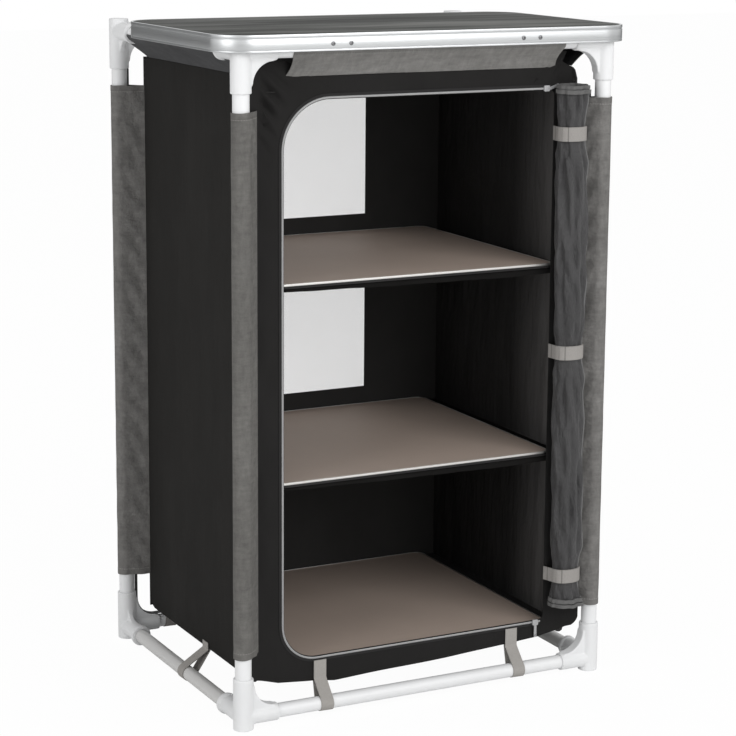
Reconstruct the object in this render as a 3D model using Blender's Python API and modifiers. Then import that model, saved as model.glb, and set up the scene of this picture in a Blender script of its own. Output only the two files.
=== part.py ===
"""Fabric camp kitchen cupboard: a plug-together tube frame, a cloth cabinet and a lift-off worktop.

Metres, +Z up. X runs along the front, -Y is the front. The origin is on the floor, in the middle.
"""
import math

import bmesh
import bpy
from mathutils import Matrix, Vector

for old in list(bpy.data.objects):
    bpy.data.objects.remove(old, do_unlink=True)

# Clearances
TOUCH = 0.0003              # gap between two pieces that touch
SOCKET_CLEARANCE = 0.0003   # a tube in its socket, all round
WORKTOP_CLEARANCE = 0.0005  # worktop board above the connectors' tops
BOARD_CLEARANCE = 0.0015    # shelf board to the rear cloth

# Frame of tubes, measured to the tubes' axes
SPAN_X = 0.612
SPAN_Y = 0.478
UPRIGHT_RADIUS = 0.0125
RAIL_RADIUS = 0.011
TUBE_WALL = 0.0012
TUBE_SIDES = 16

# Moulded corner connectors, the same at the foot and, upside down, at the top
CONNECTOR_RADIUS = 0.0155
CONNECTOR_LENGTH = 0.080    # closed end to the mouth that takes the upright
RAIL_LEVEL = 0.020          # closed end to the rails' axes
UPRIGHT_SEAT = 0.034        # closed end to the floor of the upright's socket
ARM_RADIUS = 0.014
ARM_X = 0.055               # upright's axis to the mouth of the arm along X
ARM_Y = 0.065
RAIL_SEAT = 0.018           # upright's axis to the floor of a rail's socket
COLLAR_RADIUS = 0.0165
COLLAR_LENGTH = 0.007
GUSSET_RADIUS = 0.034
GUSSET_THICKNESS = 0.018
GUSSET_SINK = 0.0005        # how far the fillet's ends run into the round arms
CONNECTOR_SIDES = 16

# Worktop
WORKTOP_HEIGHT = 1.040
WORKTOP_OVERHANG_X = 0.039  # side rails' axes to the worktop's sides
WORKTOP_OVERHANG_Y = 0.029  # front rail's axis to the worktop's front
WORKTOP_REAR_GAP = 0.108    # worktop's rear edge to the rear rail's axis
WORKTOP_CORNER = 0.055
BOARD_THICKNESS = 0.004
RIM_DEPTH = 0.025
RIM_WALL = 0.0022
RIM_LIP = 0.004
RIM_LEDGE = 0.0083
RIM_LEDGE_THICKNESS = 0.0015
NOTCH_CLEARANCE = 0.002
CLIP_INSET = 0.186          # worktop's side to the middle of a clip
CLIP_LENGTH = 0.056
CLIP_WALL = 0.004
CLIP_GRIP = 0.0003          # how far a clip's legs run past the rail's axis
RIVET_SPACING = 0.029
RIVET_RADIUS = 0.002
RIVET_HEAD_RADIUS = 0.0035
RIVET_HEAD = 0.001
RIVET_DROP = 0.0145         # worktop's top to the rivets

# Cloth cabinet, hung inside the frame
CLOTH = 0.0016
BOX_INSET_X = 0.034         # uprights' axes to the cabinet's outer faces
BOX_INSET_Y = 0.018
BOX_DROP = 0.0405           # top rails' axes to the cabinet's top
BOX_BOTTOM = 0.056
BOX_TOP_CORNER = 0.020
BOX_BOTTOM_CORNER = 0.022
EAR_HEIGHT = 0.026          # black tabs that rise from the front panel's top corners
EAR_WIDTH = 0.036
EAR_CORNER = 0.006

# Door opening in the front panel
OPENING_BORDER = 0.042      # cabinet's side to the opening
OPENING_HEAD = 0.034        # cabinet's top to the opening
OPENING_BOTTOM = 0.090
OPENING_TOP_CORNER = 0.075
OPENING_BOTTOM_CORNER = 0.055
OPENING_ROLL_CORNER = 0.008  # both corners beside the rolled door

# Shelves and floor, measured to their top faces
UPPER_ROOM = 0.306          # cabinet's top to the upper shelf
MIDDLE_ROOM = 0.303         # upper shelf to the lower one
FLOOR_SHELF = 0.083
SHELF_THICKNESS = 0.0065
BOARD_INSET = 0.027         # cabinet's side walls to the ends of a shelf board
SHELF_CORNER = 0.018
SHELF_SETBACK = 0.004       # front panel's inner face to the boards and slings
SLING_LIP = 0.008           # band of the sling that shows below a board's front edge

# Mesh windows in the rear panel
WINDOW_X = 0.260
WINDOW_Z = 0.215
WINDOW_SILL = 0.026         # shelf's top to the window
WINDOW_MESH = 0.001

# Grey cloth on the frame
SLEEVE_RADIUS = 0.0147
SLEEVE_FOOT_GAP = 0.032     # foot connectors' mouths to the sleeves
SLEEVE_HEAD_GAP = 0.0265    # sleeves to the top connectors' mouths
SLEEVE_TIP = 0.001          # half the thickness of the sleeve's web at the cabinet
VALANCE = 0.0012
VALANCE_EAR_GAP = 0.002     # lower edge of the front and rear valances to the ears
VALANCE_SIDE_GAP = 0.018    # lower edge of the side valances to the cabinet's front and rear
VALANCE_SPREAD = 0.006      # how much further the lower edge runs at each end than the upper one
WEBBING = 0.0012
WEBBING_WIDTH = 0.021
WEBBING_TIP = 0.0014
WEBBING_SEWN_FRONT = 0.027  # how far a loop's outer end is sewn up the cabinet, at the front and elsewhere
WEBBING_SEWN = 0.010
LOOP_INSET_FRONT = 0.102    # cabinet's side to the middle of a loop on the front rail
LOOP_INSET_REAR = 0.041     # the same on the rear rail
LOOP_SIDE_Y = 0.020         # loops on the side rails, forward of the middle

# Rolled-up door, at the right of the opening
ROLL_HALF_X = 0.0295
ROLL_HALF_Y = 0.0215
ROLL_OVERHANG = 0.013       # how far the roll passes the cabinet's side
ROLL_BOTTOM = 0.118
ROLL_RISE = 0.009           # how far the roll passes the opening's top
ROLL_SIDES = 24
ROLL_FOLD = 0.055           # depth of the lengthwise folds, as a share of the radius
ROLL_WAIST = 0.13           # how much a strap draws the roll in
LOW_STRAP = 0.168
MIDDLE_STRAP = 0.532
TOP_STRAP_DROP = 0.066      # opening's top to the middle of the top strap
STRAP_WIDTH = 0.022
STRAP_THICKNESS = 0.0012
STRAP_FALL = 0.035          # length over which the waist fades out
STRAP_END_ANGLE = 332       # where the strap's free end lies on the roll, in degrees

# Zip along the top, left and bottom of the opening
ZIP_WIDTH = 0.006
ZIP_THICKNESS = 0.001
ZIP_END_GAP = 0.002         # zip's right end to the roll
SLIDER_X = 0.010
SLIDER_Z = 0.009
SLIDER_THICKNESS = 0.003
PULL_X = 0.005
PULL_Z = 0.020

# What follows from the sizes above
front_reach = SPAN_Y / 2 + WORKTOP_OVERHANG_Y + RIVET_HEAD + TOUCH
rear_reach = SPAN_Y / 2 + CONNECTOR_RADIUS
middle_y = (front_reach - rear_reach) / 2   # middle of the frame, with the whole part centred on the origin
upright_x = SPAN_X / 2
front_y = middle_y - SPAN_Y / 2
rear_y = middle_y + SPAN_Y / 2
frame_top = WORKTOP_HEIGHT - BOARD_THICKNESS - WORKTOP_CLEARANCE
top_rail_z = frame_top - RAIL_LEVEL
box_top = top_rail_z - BOX_DROP
opening_top = box_top - OPENING_HEAD
upper_shelf = box_top - UPPER_ROOM
lower_shelf = upper_shelf - MIDDLE_ROOM
sleeve_bottom = CONNECTOR_LENGTH + SLEEVE_FOOT_GAP
sleeve_top = frame_top - CONNECTOR_LENGTH - SLEEVE_HEAD_GAP
roll_top = opening_top + ROLL_RISE
strap_heights = {"bottom": LOW_STRAP, "middle": MIDDLE_STRAP, "top": opening_top - TOP_STRAP_DROP}
box_x = upright_x - BOX_INSET_X
box_front = front_y + BOX_INSET_Y
box_rear = rear_y - BOX_INSET_Y
inner_x = box_x - CLOTH - TOUCH
inner_front = box_front + CLOTH + TOUCH
inner_rear = box_rear - CLOTH - TOUCH
opening_x = box_x - OPENING_BORDER
board_rear = inner_rear - BOARD_CLEARANCE
roll_x = box_x + ROLL_OVERHANG - ROLL_HALF_X
roll_face = box_front - TOUCH               # where the roll rests on the front panel
zip_face = box_front - TOUCH - ZIP_THICKNESS

FINISHES = {
    "white plastic": ((0.86, 0.86, 0.85), 0.42, 0.0),
    "white tube": ((0.90, 0.90, 0.89), 0.30, 0.0),
    "brushed aluminium": ((0.72, 0.73, 0.74), 0.32, 1.0),
    "slate laminate": ((0.09, 0.09, 0.09), 0.55, 0.0),
    "grey plastic": ((0.20, 0.20, 0.21), 0.50, 0.0),
    "black cloth": ((0.020, 0.019, 0.018), 0.90, 0.0),
    "grey cloth": ((0.185, 0.18, 0.17), 0.90, 0.0),
    "dark grey cloth": ((0.070, 0.070, 0.070), 0.88, 0.0),
    "grey webbing": ((0.33, 0.31, 0.29), 0.85, 0.0),
    "light tape": ((0.48, 0.46, 0.43), 0.80, 0.0),
    "white mesh": ((0.78, 0.78, 0.78), 0.80, 0.0),
    "taupe board": ((0.215, 0.175, 0.145), 0.60, 0.0),
}

parts = bpy.data.collections.new("camp_kitchen_cupboard")
bpy.context.scene.collection.children.link(parts)


def material(finish):
    """The finish's material, made the first time it is asked for."""
    found = bpy.data.materials.get(finish)
    if found:
        return found
    colour, roughness, metallic = FINISHES[finish]
    made = bpy.data.materials.new(finish)
    made.use_nodes = True
    shader = made.node_tree.nodes["Principled BSDF"]
    shader.inputs["Base Color"].default_value = (*colour, 1.0)
    shader.inputs["Roughness"].default_value = roughness
    shader.inputs["Metallic"].default_value = metallic
    made.diffuse_color = (*colour, 1.0)
    return made


def add_part(name, finish, mesh):
    """A finished piece. Its faces point out, and its round surfaces are smooth."""
    work = bmesh.new()
    work.from_mesh(mesh)
    bmesh.ops.recalc_face_normals(work, faces=work.faces)
    work.to_mesh(mesh)
    work.free()
    mesh.name = name
    mesh.materials.clear()
    mesh.materials.append(material(finish))
    mesh.shade_smooth()
    mesh.set_sharp_from_angle(angle=math.radians(35))
    piece = bpy.data.objects.new(name, mesh)
    parts.objects.link(piece)
    return piece


def scratch(mesh):
    """A shape that only helps to make a piece."""
    helper = bpy.data.objects.new("helper", mesh)
    bpy.context.scene.collection.objects.link(helper)
    return helper


def evaluated_mesh(helper):
    """The helper's mesh with its modifiers or curve settings applied, welded and in world space."""
    bpy.context.view_layer.update()
    source = helper.evaluated_get(bpy.context.evaluated_depsgraph_get())
    mesh = bpy.data.meshes.new_from_object(source)
    mesh.transform(helper.matrix_world)
    work = bmesh.new()
    work.from_mesh(mesh)
    bmesh.ops.remove_doubles(work, verts=work.verts, dist=0.000001)
    work.to_mesh(mesh)
    work.free()
    bpy.data.objects.remove(helper, do_unlink=True)
    return mesh


def block_mesh(low, high):
    """A box between two corners."""
    low, high = Vector(low), Vector(high)
    size = Matrix.Diagonal((*(high - low), 1.0))
    work = bmesh.new()
    bmesh.ops.create_cube(work, size=1.0, matrix=Matrix.Translation((low + high) / 2) @ size)
    mesh = bpy.data.meshes.new("block")
    work.to_mesh(mesh)
    work.free()
    return mesh


def cylinder_mesh(start, end, radius, sides, capped=True):
    """A cylinder between the middles of its two ends."""
    start, end = Vector(start), Vector(end)
    turn = (end - start).to_track_quat("Z", "Y").to_matrix().to_4x4()
    work = bmesh.new()
    bmesh.ops.create_cone(work, cap_ends=capped, segments=sides, radius1=radius, radius2=radius,
                          depth=(end - start).length, matrix=Matrix.Translation((start + end) / 2) @ turn)
    mesh = bpy.data.meshes.new("cylinder")
    work.to_mesh(mesh)
    work.free()
    return mesh


PLANES = {
    "XY": Matrix.Identity(4),
    "XZ": Matrix(((1, 0, 0, 0), (0, 0, -1, 0), (0, 1, 0, 0), (0, 0, 0, 1))),
    "YZ": Matrix(((0, 0, 1, 0), (1, 0, 0, 0), (0, 1, 0, 0), (0, 0, 0, 1))),
}
NORMALS = {"XY": (0, 0, 1), "XZ": (0, 1, 0), "YZ": (1, 0, 0)}


def outline_mesh(outlines, plane, low, high):
    """Flat outlines, the first with the others as its holes, made solid from low to high."""
    curve = bpy.data.curves.new("outline", "CURVE")
    curve.dimensions = "2D"
    curve.fill_mode = "BOTH"
    curve.extrude = (high - low) / 2
    for outline in outlines:
        spline = curve.splines.new("POLY")
        spline.points.add(len(outline) - 1)
        for point, place in zip(spline.points, outline):
            point.co = (place[0], place[1], 0, 1)
        spline.use_cyclic_u = True
    helper = scratch(curve)
    helper.matrix_world = Matrix.Translation(Vector(NORMALS[plane]) * (low + high) / 2) @ PLANES[plane]
    return evaluated_mesh(helper)


def boolean_mesh(base, added=(), cut=()):
    """The base mesh with others joined to it and then others cut from it."""
    helper = scratch(base)
    tools = [(scratch(mesh), "UNION") for mesh in added] + [(scratch(mesh), "DIFFERENCE") for mesh in cut]
    for tool, operation in tools:
        step = helper.modifiers.new(operation.title(), "BOOLEAN")
        step.operation = operation
        step.solver = "EXACT"
        step.object = tool
    mesh = evaluated_mesh(helper)
    for tool, _ in tools:
        bpy.data.objects.remove(tool, do_unlink=True)
    return mesh


def arc(centre, radius, start, end, steps):
    """Points along an arc, with the angles in degrees."""
    points = []
    for step in range(steps + 1):
        angle = math.radians(start + (end - start) * step / steps)
        points.append((centre[0] + radius * math.cos(angle), centre[1] + radius * math.sin(angle)))
    return points


def circle(centre, radius, sides):
    return arc(centre, radius, 0, 360 * (sides - 1) / sides, sides - 1)


def rounded_rectangle(low, high, low_radius, high_radius, steps=6, right_radius=None):
    """A rectangle with round corners: a radius at its lower corners, its upper ones or all on its right."""
    points = []
    for x, y, radius, start in ((high[0], high[1], high_radius, 0), (low[0], high[1], high_radius, 90),
                                (low[0], low[1], low_radius, 180), (high[0], low[1], low_radius, 270)):
        if right_radius and x == high[0]:
            radius = right_radius
        centre = (x + (radius if x == low[0] else -radius), y + (radius if y == low[1] else -radius))
        points += arc(centre, radius, start, start + 90, steps)
    return points


def teardrop(centre, tip, radius, tip_half, steps=16):
    """Cloth that goes round a tube and is drawn to a seam at the tip."""
    reach = Vector(tip) - Vector(centre)
    heading = math.degrees(math.atan2(reach.y, reach.x))
    mouth = math.degrees(math.acos((radius - tip_half) / reach.length))
    across = Vector((-reach.y, reach.x)).normalized() * tip_half
    points = arc(centre, radius, heading + mouth, heading + 360 - mouth, steps)
    return points + [tuple(Vector(tip) - across), tuple(Vector(tip) + across)]


def carry(name, place, pieces):
    """An empty on a joint's axis, with the pieces that move about it."""
    axis = bpy.data.objects.new(name, None)
    axis.location = place
    axis.empty_display_size = 0.05
    parts.objects.link(axis)
    bpy.context.view_layer.update()
    for piece in pieces:
        piece.parent = axis
        piece.matrix_parent_inverse = axis.matrix_world.inverted()


# Frame
CORNERS = {"front_left": (-1, -1), "front_right": (1, -1), "rear_left": (-1, 1), "rear_right": (1, 1)}


def corner_place(corner):
    side, end = CORNERS[corner]
    return side * upright_x, (front_y if end < 0 else rear_y)


def connector(name, corner, closed_end, up):
    """A three-way corner whose closed end is at closed_end. up is 1 for a foot, -1 for a top corner."""
    side, end = CORNERS[corner]
    x, y = corner_place(corner)
    rail_z = closed_end + up * RAIL_LEVEL
    mouth_z = closed_end + up * CONNECTOR_LENGTH
    body = cylinder_mesh((x, y, closed_end), (x, y, mouth_z), CONNECTOR_RADIUS, CONNECTOR_SIDES)
    arm_x = cylinder_mesh((x, y, rail_z), (x - side * ARM_X, y, rail_z), ARM_RADIUS, CONNECTOR_SIDES)
    arm_y = cylinder_mesh((x, y, rail_z), (x, y - end * ARM_Y, rail_z), ARM_RADIUS, CONNECTOR_SIDES)
    collar = cylinder_mesh((x, y - end * (ARM_Y - COLLAR_LENGTH), rail_z),
                           (x, y - end * (ARM_Y + TOUCH), rail_z), COLLAR_RADIUS, CONNECTOR_SIDES)
    gusset_centre = (CONNECTOR_RADIUS + GUSSET_RADIUS - GUSSET_SINK,
                     RAIL_LEVEL + ARM_RADIUS + GUSSET_RADIUS - GUSSET_SINK)
    gusset = [(0, RAIL_LEVEL + GUSSET_SINK), (gusset_centre[0], RAIL_LEVEL + GUSSET_SINK)]
    gusset += arc(gusset_centre, GUSSET_RADIUS, 270, 180, 6)
    gusset.append((0, gusset_centre[1]))
    gusset = [(x - side * across, closed_end + up * along) for across, along in gusset]
    web = outline_mesh([gusset], "XZ", y - GUSSET_THICKNESS / 2, y + GUSSET_THICKNESS / 2)
    rail_hole = RAIL_RADIUS + SOCKET_CLEARANCE
    past = 0.002                # a cutter runs this far out of the mouth
    bores = [
        cylinder_mesh((x, y, closed_end + up * UPRIGHT_SEAT), (x, y, mouth_z + up * past),
                      UPRIGHT_RADIUS + SOCKET_CLEARANCE, TUBE_SIDES),
        cylinder_mesh((x - side * RAIL_SEAT, y, rail_z), (x - side * (ARM_X + past), y, rail_z),
                      rail_hole, TUBE_SIDES),
        cylinder_mesh((x, y - end * RAIL_SEAT, rail_z), (x, y - end * (ARM_Y + past), rail_z),
                      rail_hole, TUBE_SIDES),
    ]
    add_part(name, "white plastic", boolean_mesh(body, [arm_x, arm_y, collar, web], bores))


def tube(name, start, end, radius):
    """A hollow tube that stops short of the two socket floors."""
    start, end = Vector(start), Vector(end)
    short = (end - start).normalized() * TOUCH
    helper = scratch(cylinder_mesh(start + short, end - short, radius, TUBE_SIDES, capped=False))
    wall = helper.modifiers.new("Wall", "SOLIDIFY")
    wall.thickness = TUBE_WALL
    wall.offset = -1
    add_part(name, "white tube", evaluated_mesh(helper))


for corner in CORNERS:
    x, y = corner_place(corner)
    connector("foot_connector_" + corner, corner, 0.0, 1)
    connector("top_connector_" + corner, corner, frame_top, -1)
    tube("upright_" + corner, (x, y, UPRIGHT_SEAT), (x, y, frame_top - UPRIGHT_SEAT), UPRIGHT_RADIUS)

rail_end_x = upright_x - RAIL_SEAT
for level, z in (("bottom", RAIL_LEVEL), ("top", top_rail_z)):
    for place, y in (("front", front_y), ("rear", rear_y)):
        tube(f"{level}_rail_{place}", (-rail_end_x, y, z), (rail_end_x, y, z), RAIL_RADIUS)
    for place, side in (("left", -1), ("right", 1)):
        x = side * upright_x
        tube(f"{level}_rail_{place}", (x, front_y + RAIL_SEAT, z), (x, rear_y - RAIL_SEAT, z), RAIL_RADIUS)

# Worktop
top_front = front_y - WORKTOP_OVERHANG_Y
top_rear = rear_y - WORKTOP_REAR_GAP
top_x = upright_x + WORKTOP_OVERHANG_X
rim_bottom = WORKTOP_HEIGHT - RIM_DEPTH
board_bottom = WORKTOP_HEIGHT - BOARD_THICKNESS
rivet_z = WORKTOP_HEIGHT - RIVET_DROP
clip_x = top_x - CLIP_INSET


def worktop_outline(inset):
    radius = WORKTOP_CORNER - inset
    low, high = (-top_x + inset, top_front + inset), (top_x - inset, top_rear - inset)
    return rounded_rectangle(low, high, radius, radius)


def ring_mesh(profile):
    """A closed profile of insets and heights, carried round the worktop's outline."""
    work = bmesh.new()
    loops = [[work.verts.new((x, y, z)) for x, y in worktop_outline(inset)] for inset, z in profile]
    for loop, following in zip(loops, loops[1:] + loops[:1]):
        for step in range(len(loop)):
            work.faces.new((loop[step - 1], loop[step], following[step], following[step - 1]))
    bmesh.ops.recalc_face_normals(work, faces=work.faces)
    mesh = bpy.data.meshes.new("ring")
    work.to_mesh(mesh)
    work.free()
    return mesh


def worktop_rim():
    """A skirt with a lip round the board and a ledge under it, notched at the back over the side rails."""
    ledge_top = board_bottom - TOUCH
    ledge_bottom = ledge_top - RIM_LEDGE_THICKNESS
    profile = [(0, rim_bottom), (0, WORKTOP_HEIGHT), (RIM_LIP, WORKTOP_HEIGHT), (RIM_LIP, ledge_top),
               (RIM_LEDGE, ledge_top), (RIM_LEDGE, ledge_bottom), (RIM_WALL, ledge_bottom),
               (RIM_WALL, rim_bottom)]
    cuts = []
    for side in (-1, 1):
        half = RAIL_RADIUS + NOTCH_CLEARANCE
        rail_top = top_rail_z + RAIL_RADIUS
        low = (side * upright_x - half, top_rear - WORKTOP_CORNER / 2, rim_bottom - RIM_WALL)
        high = (side * upright_x + half, top_rear + RIM_WALL, rail_top + TOUCH)
        cuts.append(block_mesh(low, high))
        for rivet in (-1, 1):
            x = side * clip_x + rivet * RIVET_SPACING / 2
            cuts.append(cylinder_mesh((x, top_front - RIM_WALL, rivet_z),
                                      (x, top_front + 2 * RIM_WALL, rivet_z), RIVET_RADIUS + TOUCH, 12))
    return add_part("worktop_rim", "brushed aluminium", boolean_mesh(ring_mesh(profile), cut=cuts))


def worktop_clip(name, side):
    """A saddle over the front top rail, with the two rivets that hold it in the rim."""
    rail = (front_y, top_rail_z)
    gap = RAIL_RADIUS + TOUCH
    foot = top_rail_z - CLIP_GRIP
    head = board_bottom - 2 * TOUCH - RIM_LEDGE_THICKNESS
    face = top_front + RIM_WALL + TOUCH
    back = front_y + gap + CLIP_WALL
    outline = [(front_y - gap, foot), (face, foot), (face, head), (back, head), (back, foot),
               (front_y + gap, foot)]
    outline += arc(rail, gap, 0, 180, 10)
    centre = side * clip_x
    saddle = outline_mesh([outline], "YZ", centre - CLIP_LENGTH / 2, centre + CLIP_LENGTH / 2)
    rivets = []
    for rivet in (-1, 1):
        x = centre + rivet * RIVET_SPACING / 2
        head_back = top_front - TOUCH
        rivets.append(cylinder_mesh((x, head_back - RIVET_HEAD / 2, rivet_z),
                                    (x, face + CLIP_WALL / 2, rivet_z), RIVET_RADIUS, 12))
        rivets.append(cylinder_mesh((x, head_back - RIVET_HEAD, rivet_z), (x, head_back, rivet_z),
                                    RIVET_HEAD_RADIUS, 12))
    return add_part(name, "grey plastic", boolean_mesh(saddle, rivets))


worktop_board = add_part("worktop_board", "slate laminate", outline_mesh(
    [worktop_outline(RIM_LIP + TOUCH)], "XY", board_bottom, WORKTOP_HEIGHT))
clips = [worktop_clip("worktop_clip_left", -1), worktop_clip("worktop_clip_right", 1)]
carry("worktop_lift_axis", (0, 0, WORKTOP_HEIGHT), [worktop_board, worktop_rim(), *clips])


# Cloth cabinet
def front_panel():
    """The front, with the door opening and two black tabs that rise beside the valance."""
    ear_inner = box_x - EAR_WIDTH
    ear_top = box_top + EAR_HEIGHT
    edge = arc((-box_x + BOX_BOTTOM_CORNER, BOX_BOTTOM + BOX_BOTTOM_CORNER), BOX_BOTTOM_CORNER, 180, 270, 6)
    edge += arc((box_x - BOX_BOTTOM_CORNER, BOX_BOTTOM + BOX_BOTTOM_CORNER), BOX_BOTTOM_CORNER, 270, 360, 6)
    edge += [(box_x, box_top - EAR_CORNER)]
    edge += arc((box_x - 2 * EAR_CORNER, ear_top - EAR_CORNER), EAR_CORNER, 0, 90, 3)
    edge += [(ear_inner, ear_top), (ear_inner, box_top), (-ear_inner, box_top), (-ear_inner, ear_top)]
    edge += arc((-box_x + 2 * EAR_CORNER, ear_top - EAR_CORNER), EAR_CORNER, 90, 180, 3)
    edge += [(-box_x, box_top - EAR_CORNER)]
    opening = rounded_rectangle((-opening_x, OPENING_BOTTOM), (opening_x, opening_top),
                                OPENING_BOTTOM_CORNER, OPENING_TOP_CORNER, 8, OPENING_ROLL_CORNER)
    add_part("front_panel", "black cloth", outline_mesh([edge, opening], "XZ", box_front, box_front + CLOTH))


front_panel()
for place, side in (("left", -1), ("right", 1)):
    outer, inner = side * box_x, side * (box_x - CLOTH)
    edge = rounded_rectangle((inner_front, BOX_BOTTOM), (inner_rear, box_top),
                             BOX_BOTTOM_CORNER, BOX_TOP_CORNER)
    low, high = min(outer, inner), max(outer, inner)
    add_part("side_panel_" + place, "black cloth", outline_mesh([edge], "YZ", low, high))

windows = {"upper": upper_shelf + WINDOW_SILL, "middle": lower_shelf + WINDOW_SILL}
rear_outlines = [rounded_rectangle((-box_x, BOX_BOTTOM), (box_x, box_top),
                                   BOX_BOTTOM_CORNER, BOX_TOP_CORNER)]
for place, sill in windows.items():
    half = WINDOW_X / 2
    rear_outlines.append([(-half, sill), (half, sill), (half, sill + WINDOW_Z), (-half, sill + WINDOW_Z)])
    centre = box_rear - CLOTH / 2
    add_part("mesh_window_" + place, "white mesh", block_mesh(
        (-half + TOUCH, centre - WINDOW_MESH / 2, sill + TOUCH),
        (half - TOUCH, centre + WINDOW_MESH / 2, sill + WINDOW_Z - TOUCH)))
add_part("rear_panel", "black cloth", outline_mesh(rear_outlines, "XZ", box_rear - CLOTH, box_rear))

sheet_x = inner_x
floor_cloth_top = FLOOR_SHELF - SHELF_THICKNESS - TOUCH
for name, top in (("roof_panel", box_top - BOX_TOP_CORNER), ("floor_panel", floor_cloth_top)):
    add_part(name, "black cloth", block_mesh((-sheet_x, inner_front, top - CLOTH),
                                             (sheet_x, inner_rear, top)))

# Shelves
for name, top in (("shelf_board_upper", upper_shelf), ("shelf_board_lower", lower_shelf),
                  ("floor_board", FLOOR_SHELF)):
    half = inner_x - BOARD_INSET
    outline = rounded_rectangle((-half, inner_front + SHELF_SETBACK), (half, board_rear),
                                SHELF_CORNER, SHELF_CORNER)
    board = add_part(name, "taupe board", outline_mesh([outline], "XY", top - SHELF_THICKNESS, top))
    carry(name + "_tilt_axis", (0, board_rear, top), [board])

for place, top in (("upper", upper_shelf), ("lower", lower_shelf)):
    high = top - SHELF_THICKNESS - TOUCH
    low = high - CLOTH
    front = inner_front + SHELF_SETBACK
    lip = low - SLING_LIP
    section = [(front, lip), (front + CLOTH, lip), (front + CLOTH, low), (inner_rear, low),
               (inner_rear, high), (front, high)]
    add_part("shelf_sling_" + place, "black cloth", outline_mesh([section], "YZ", -sheet_x, sheet_x))

# Grey sleeves round the uprights
for corner in CORNERS:
    side, end = CORNERS[corner]
    place = corner_place(corner)
    cabinet_corner = Vector((side * box_x, box_front if end < 0 else box_rear))
    reach = cabinet_corner - Vector(place)
    tip = cabinet_corner - reach.normalized() * TOUCH
    outlines = [teardrop(place, tip, SLEEVE_RADIUS, SLEEVE_TIP),
                circle(place, UPRIGHT_RADIUS + TOUCH, TUBE_SIDES)]
    add_part("sleeve_" + corner, "grey cloth", outline_mesh(outlines, "XY", sleeve_bottom, sleeve_top))


# Valances, from the top rails down and in to the cabinet's top edges
def valance(name, along, length, rail_across, box_across, arm_radius):
    """A strip along one axis that slopes from a rail to the cabinet, just clear of the connectors' arms."""
    rail = Vector((rail_across, top_rail_z))
    edge = Vector((box_across, box_top + VALANCE))
    slope = (rail - edge).normalized()
    top = rail - slope * (arm_radius + 2 * TOUCH)
    across = Vector((-slope.y, slope.x)) * VALANCE / 2
    section = [edge - across, top - across, top + across, edge + across]
    plane = "XZ" if along == "Y" else "YZ"
    mesh = outline_mesh([[tuple(point) for point in section]], plane, -length / 2, length / 2)
    axis = "XYZ".index(along)
    for vertex in mesh.vertices:
        share = (top.y - vertex.co.z) / (top.y - edge.y)
        vertex.co[axis] += math.copysign(VALANCE_SPREAD * share, vertex.co[axis])
        if along == "Y":
            vertex.co.y += middle_y
    add_part(name, "grey cloth", mesh)


wide = 2 * (box_x - EAR_WIDTH - VALANCE_EAR_GAP - VALANCE_SPREAD)
deep = box_rear - box_front - 2 * (VALANCE_SIDE_GAP + VALANCE_SPREAD)
valance("valance_front", "X", wide, front_y, box_front + CLOTH / 2, ARM_RADIUS)
valance("valance_rear", "X", wide, rear_y, box_rear - CLOTH / 2, ARM_RADIUS)
valance("valance_left", "Y", deep, -upright_x, -box_x + CLOTH / 2, COLLAR_RADIUS)
valance("valance_right", "Y", deep, upright_x, box_x - CLOTH / 2, COLLAR_RADIUS)


# Webbing loops, from the cabinet's lower edges round the bottom rails
def webbing_loop(name, plane, rail_across, box_across, along, sewn):
    """A band round a rail, with its outer end sewn to the cabinet's wall, whose middle is at box_across."""
    rail = (rail_across, RAIL_LEVEL)
    inner = RAIL_RADIUS + TOUCH
    reach = Vector((box_across, BOX_BOTTOM)) - Vector(rail)
    tip = Vector((box_across, BOX_BOTTOM - TOUCH - WEBBING_TIP * abs(reach.x) / reach.length))
    inner_tip = tip + (Vector(rail) - tip).normalized() * 3 * WEBBING
    outlines = [teardrop(rail, tip, inner + WEBBING, WEBBING_TIP),
                teardrop(rail, inner_tip, inner, WEBBING_TIP / 2)]
    low, high = along - WEBBING_WIDTH / 2, along + WEBBING_WIDTH / 2
    face = box_across + math.copysign(CLOTH / 2 + TOUCH, rail_across - box_across)
    outer = face + math.copysign(WEBBING, rail_across - face)
    foot, head = tip.y - WEBBING_TIP, BOX_BOTTOM + sewn
    sewn_end = outline_mesh([[(face, foot), (face, head), (outer, head), (outer, foot)]], plane, low, high)
    add_part(name, "grey webbing", boolean_mesh(outline_mesh(outlines, plane, low, high), [sewn_end]))


for place, side in (("left", -1), ("right", 1)):
    wall_x = side * (box_x - CLOTH / 2)
    webbing_loop("webbing_loop_front_" + place, "YZ", front_y, box_front + CLOTH / 2,
                 side * (box_x - LOOP_INSET_FRONT), WEBBING_SEWN_FRONT)
    webbing_loop("webbing_loop_rear_" + place, "YZ", rear_y, box_rear - CLOTH / 2,
                 side * (box_x - LOOP_INSET_REAR), WEBBING_SEWN)
    webbing_loop("webbing_loop_" + place, "XZ", side * upright_x, wall_x, middle_y - LOOP_SIDE_Y,
                 WEBBING_SEWN)


# Rolled-up door
def waist_share(z):
    """1 under a strap, 0 away from the straps."""
    flat = STRAP_WIDTH / 2 + 0.003
    nearest = min(abs(z - height) for height in strap_heights.values())
    fade = min(max((nearest - flat) / STRAP_FALL, 0.0), 1.0)
    return 0.5 + 0.5 * math.cos(math.pi * fade)


def roll_centre_y(scale):
    return roll_face - ROLL_HALF_Y * scale + 0.0015


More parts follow.
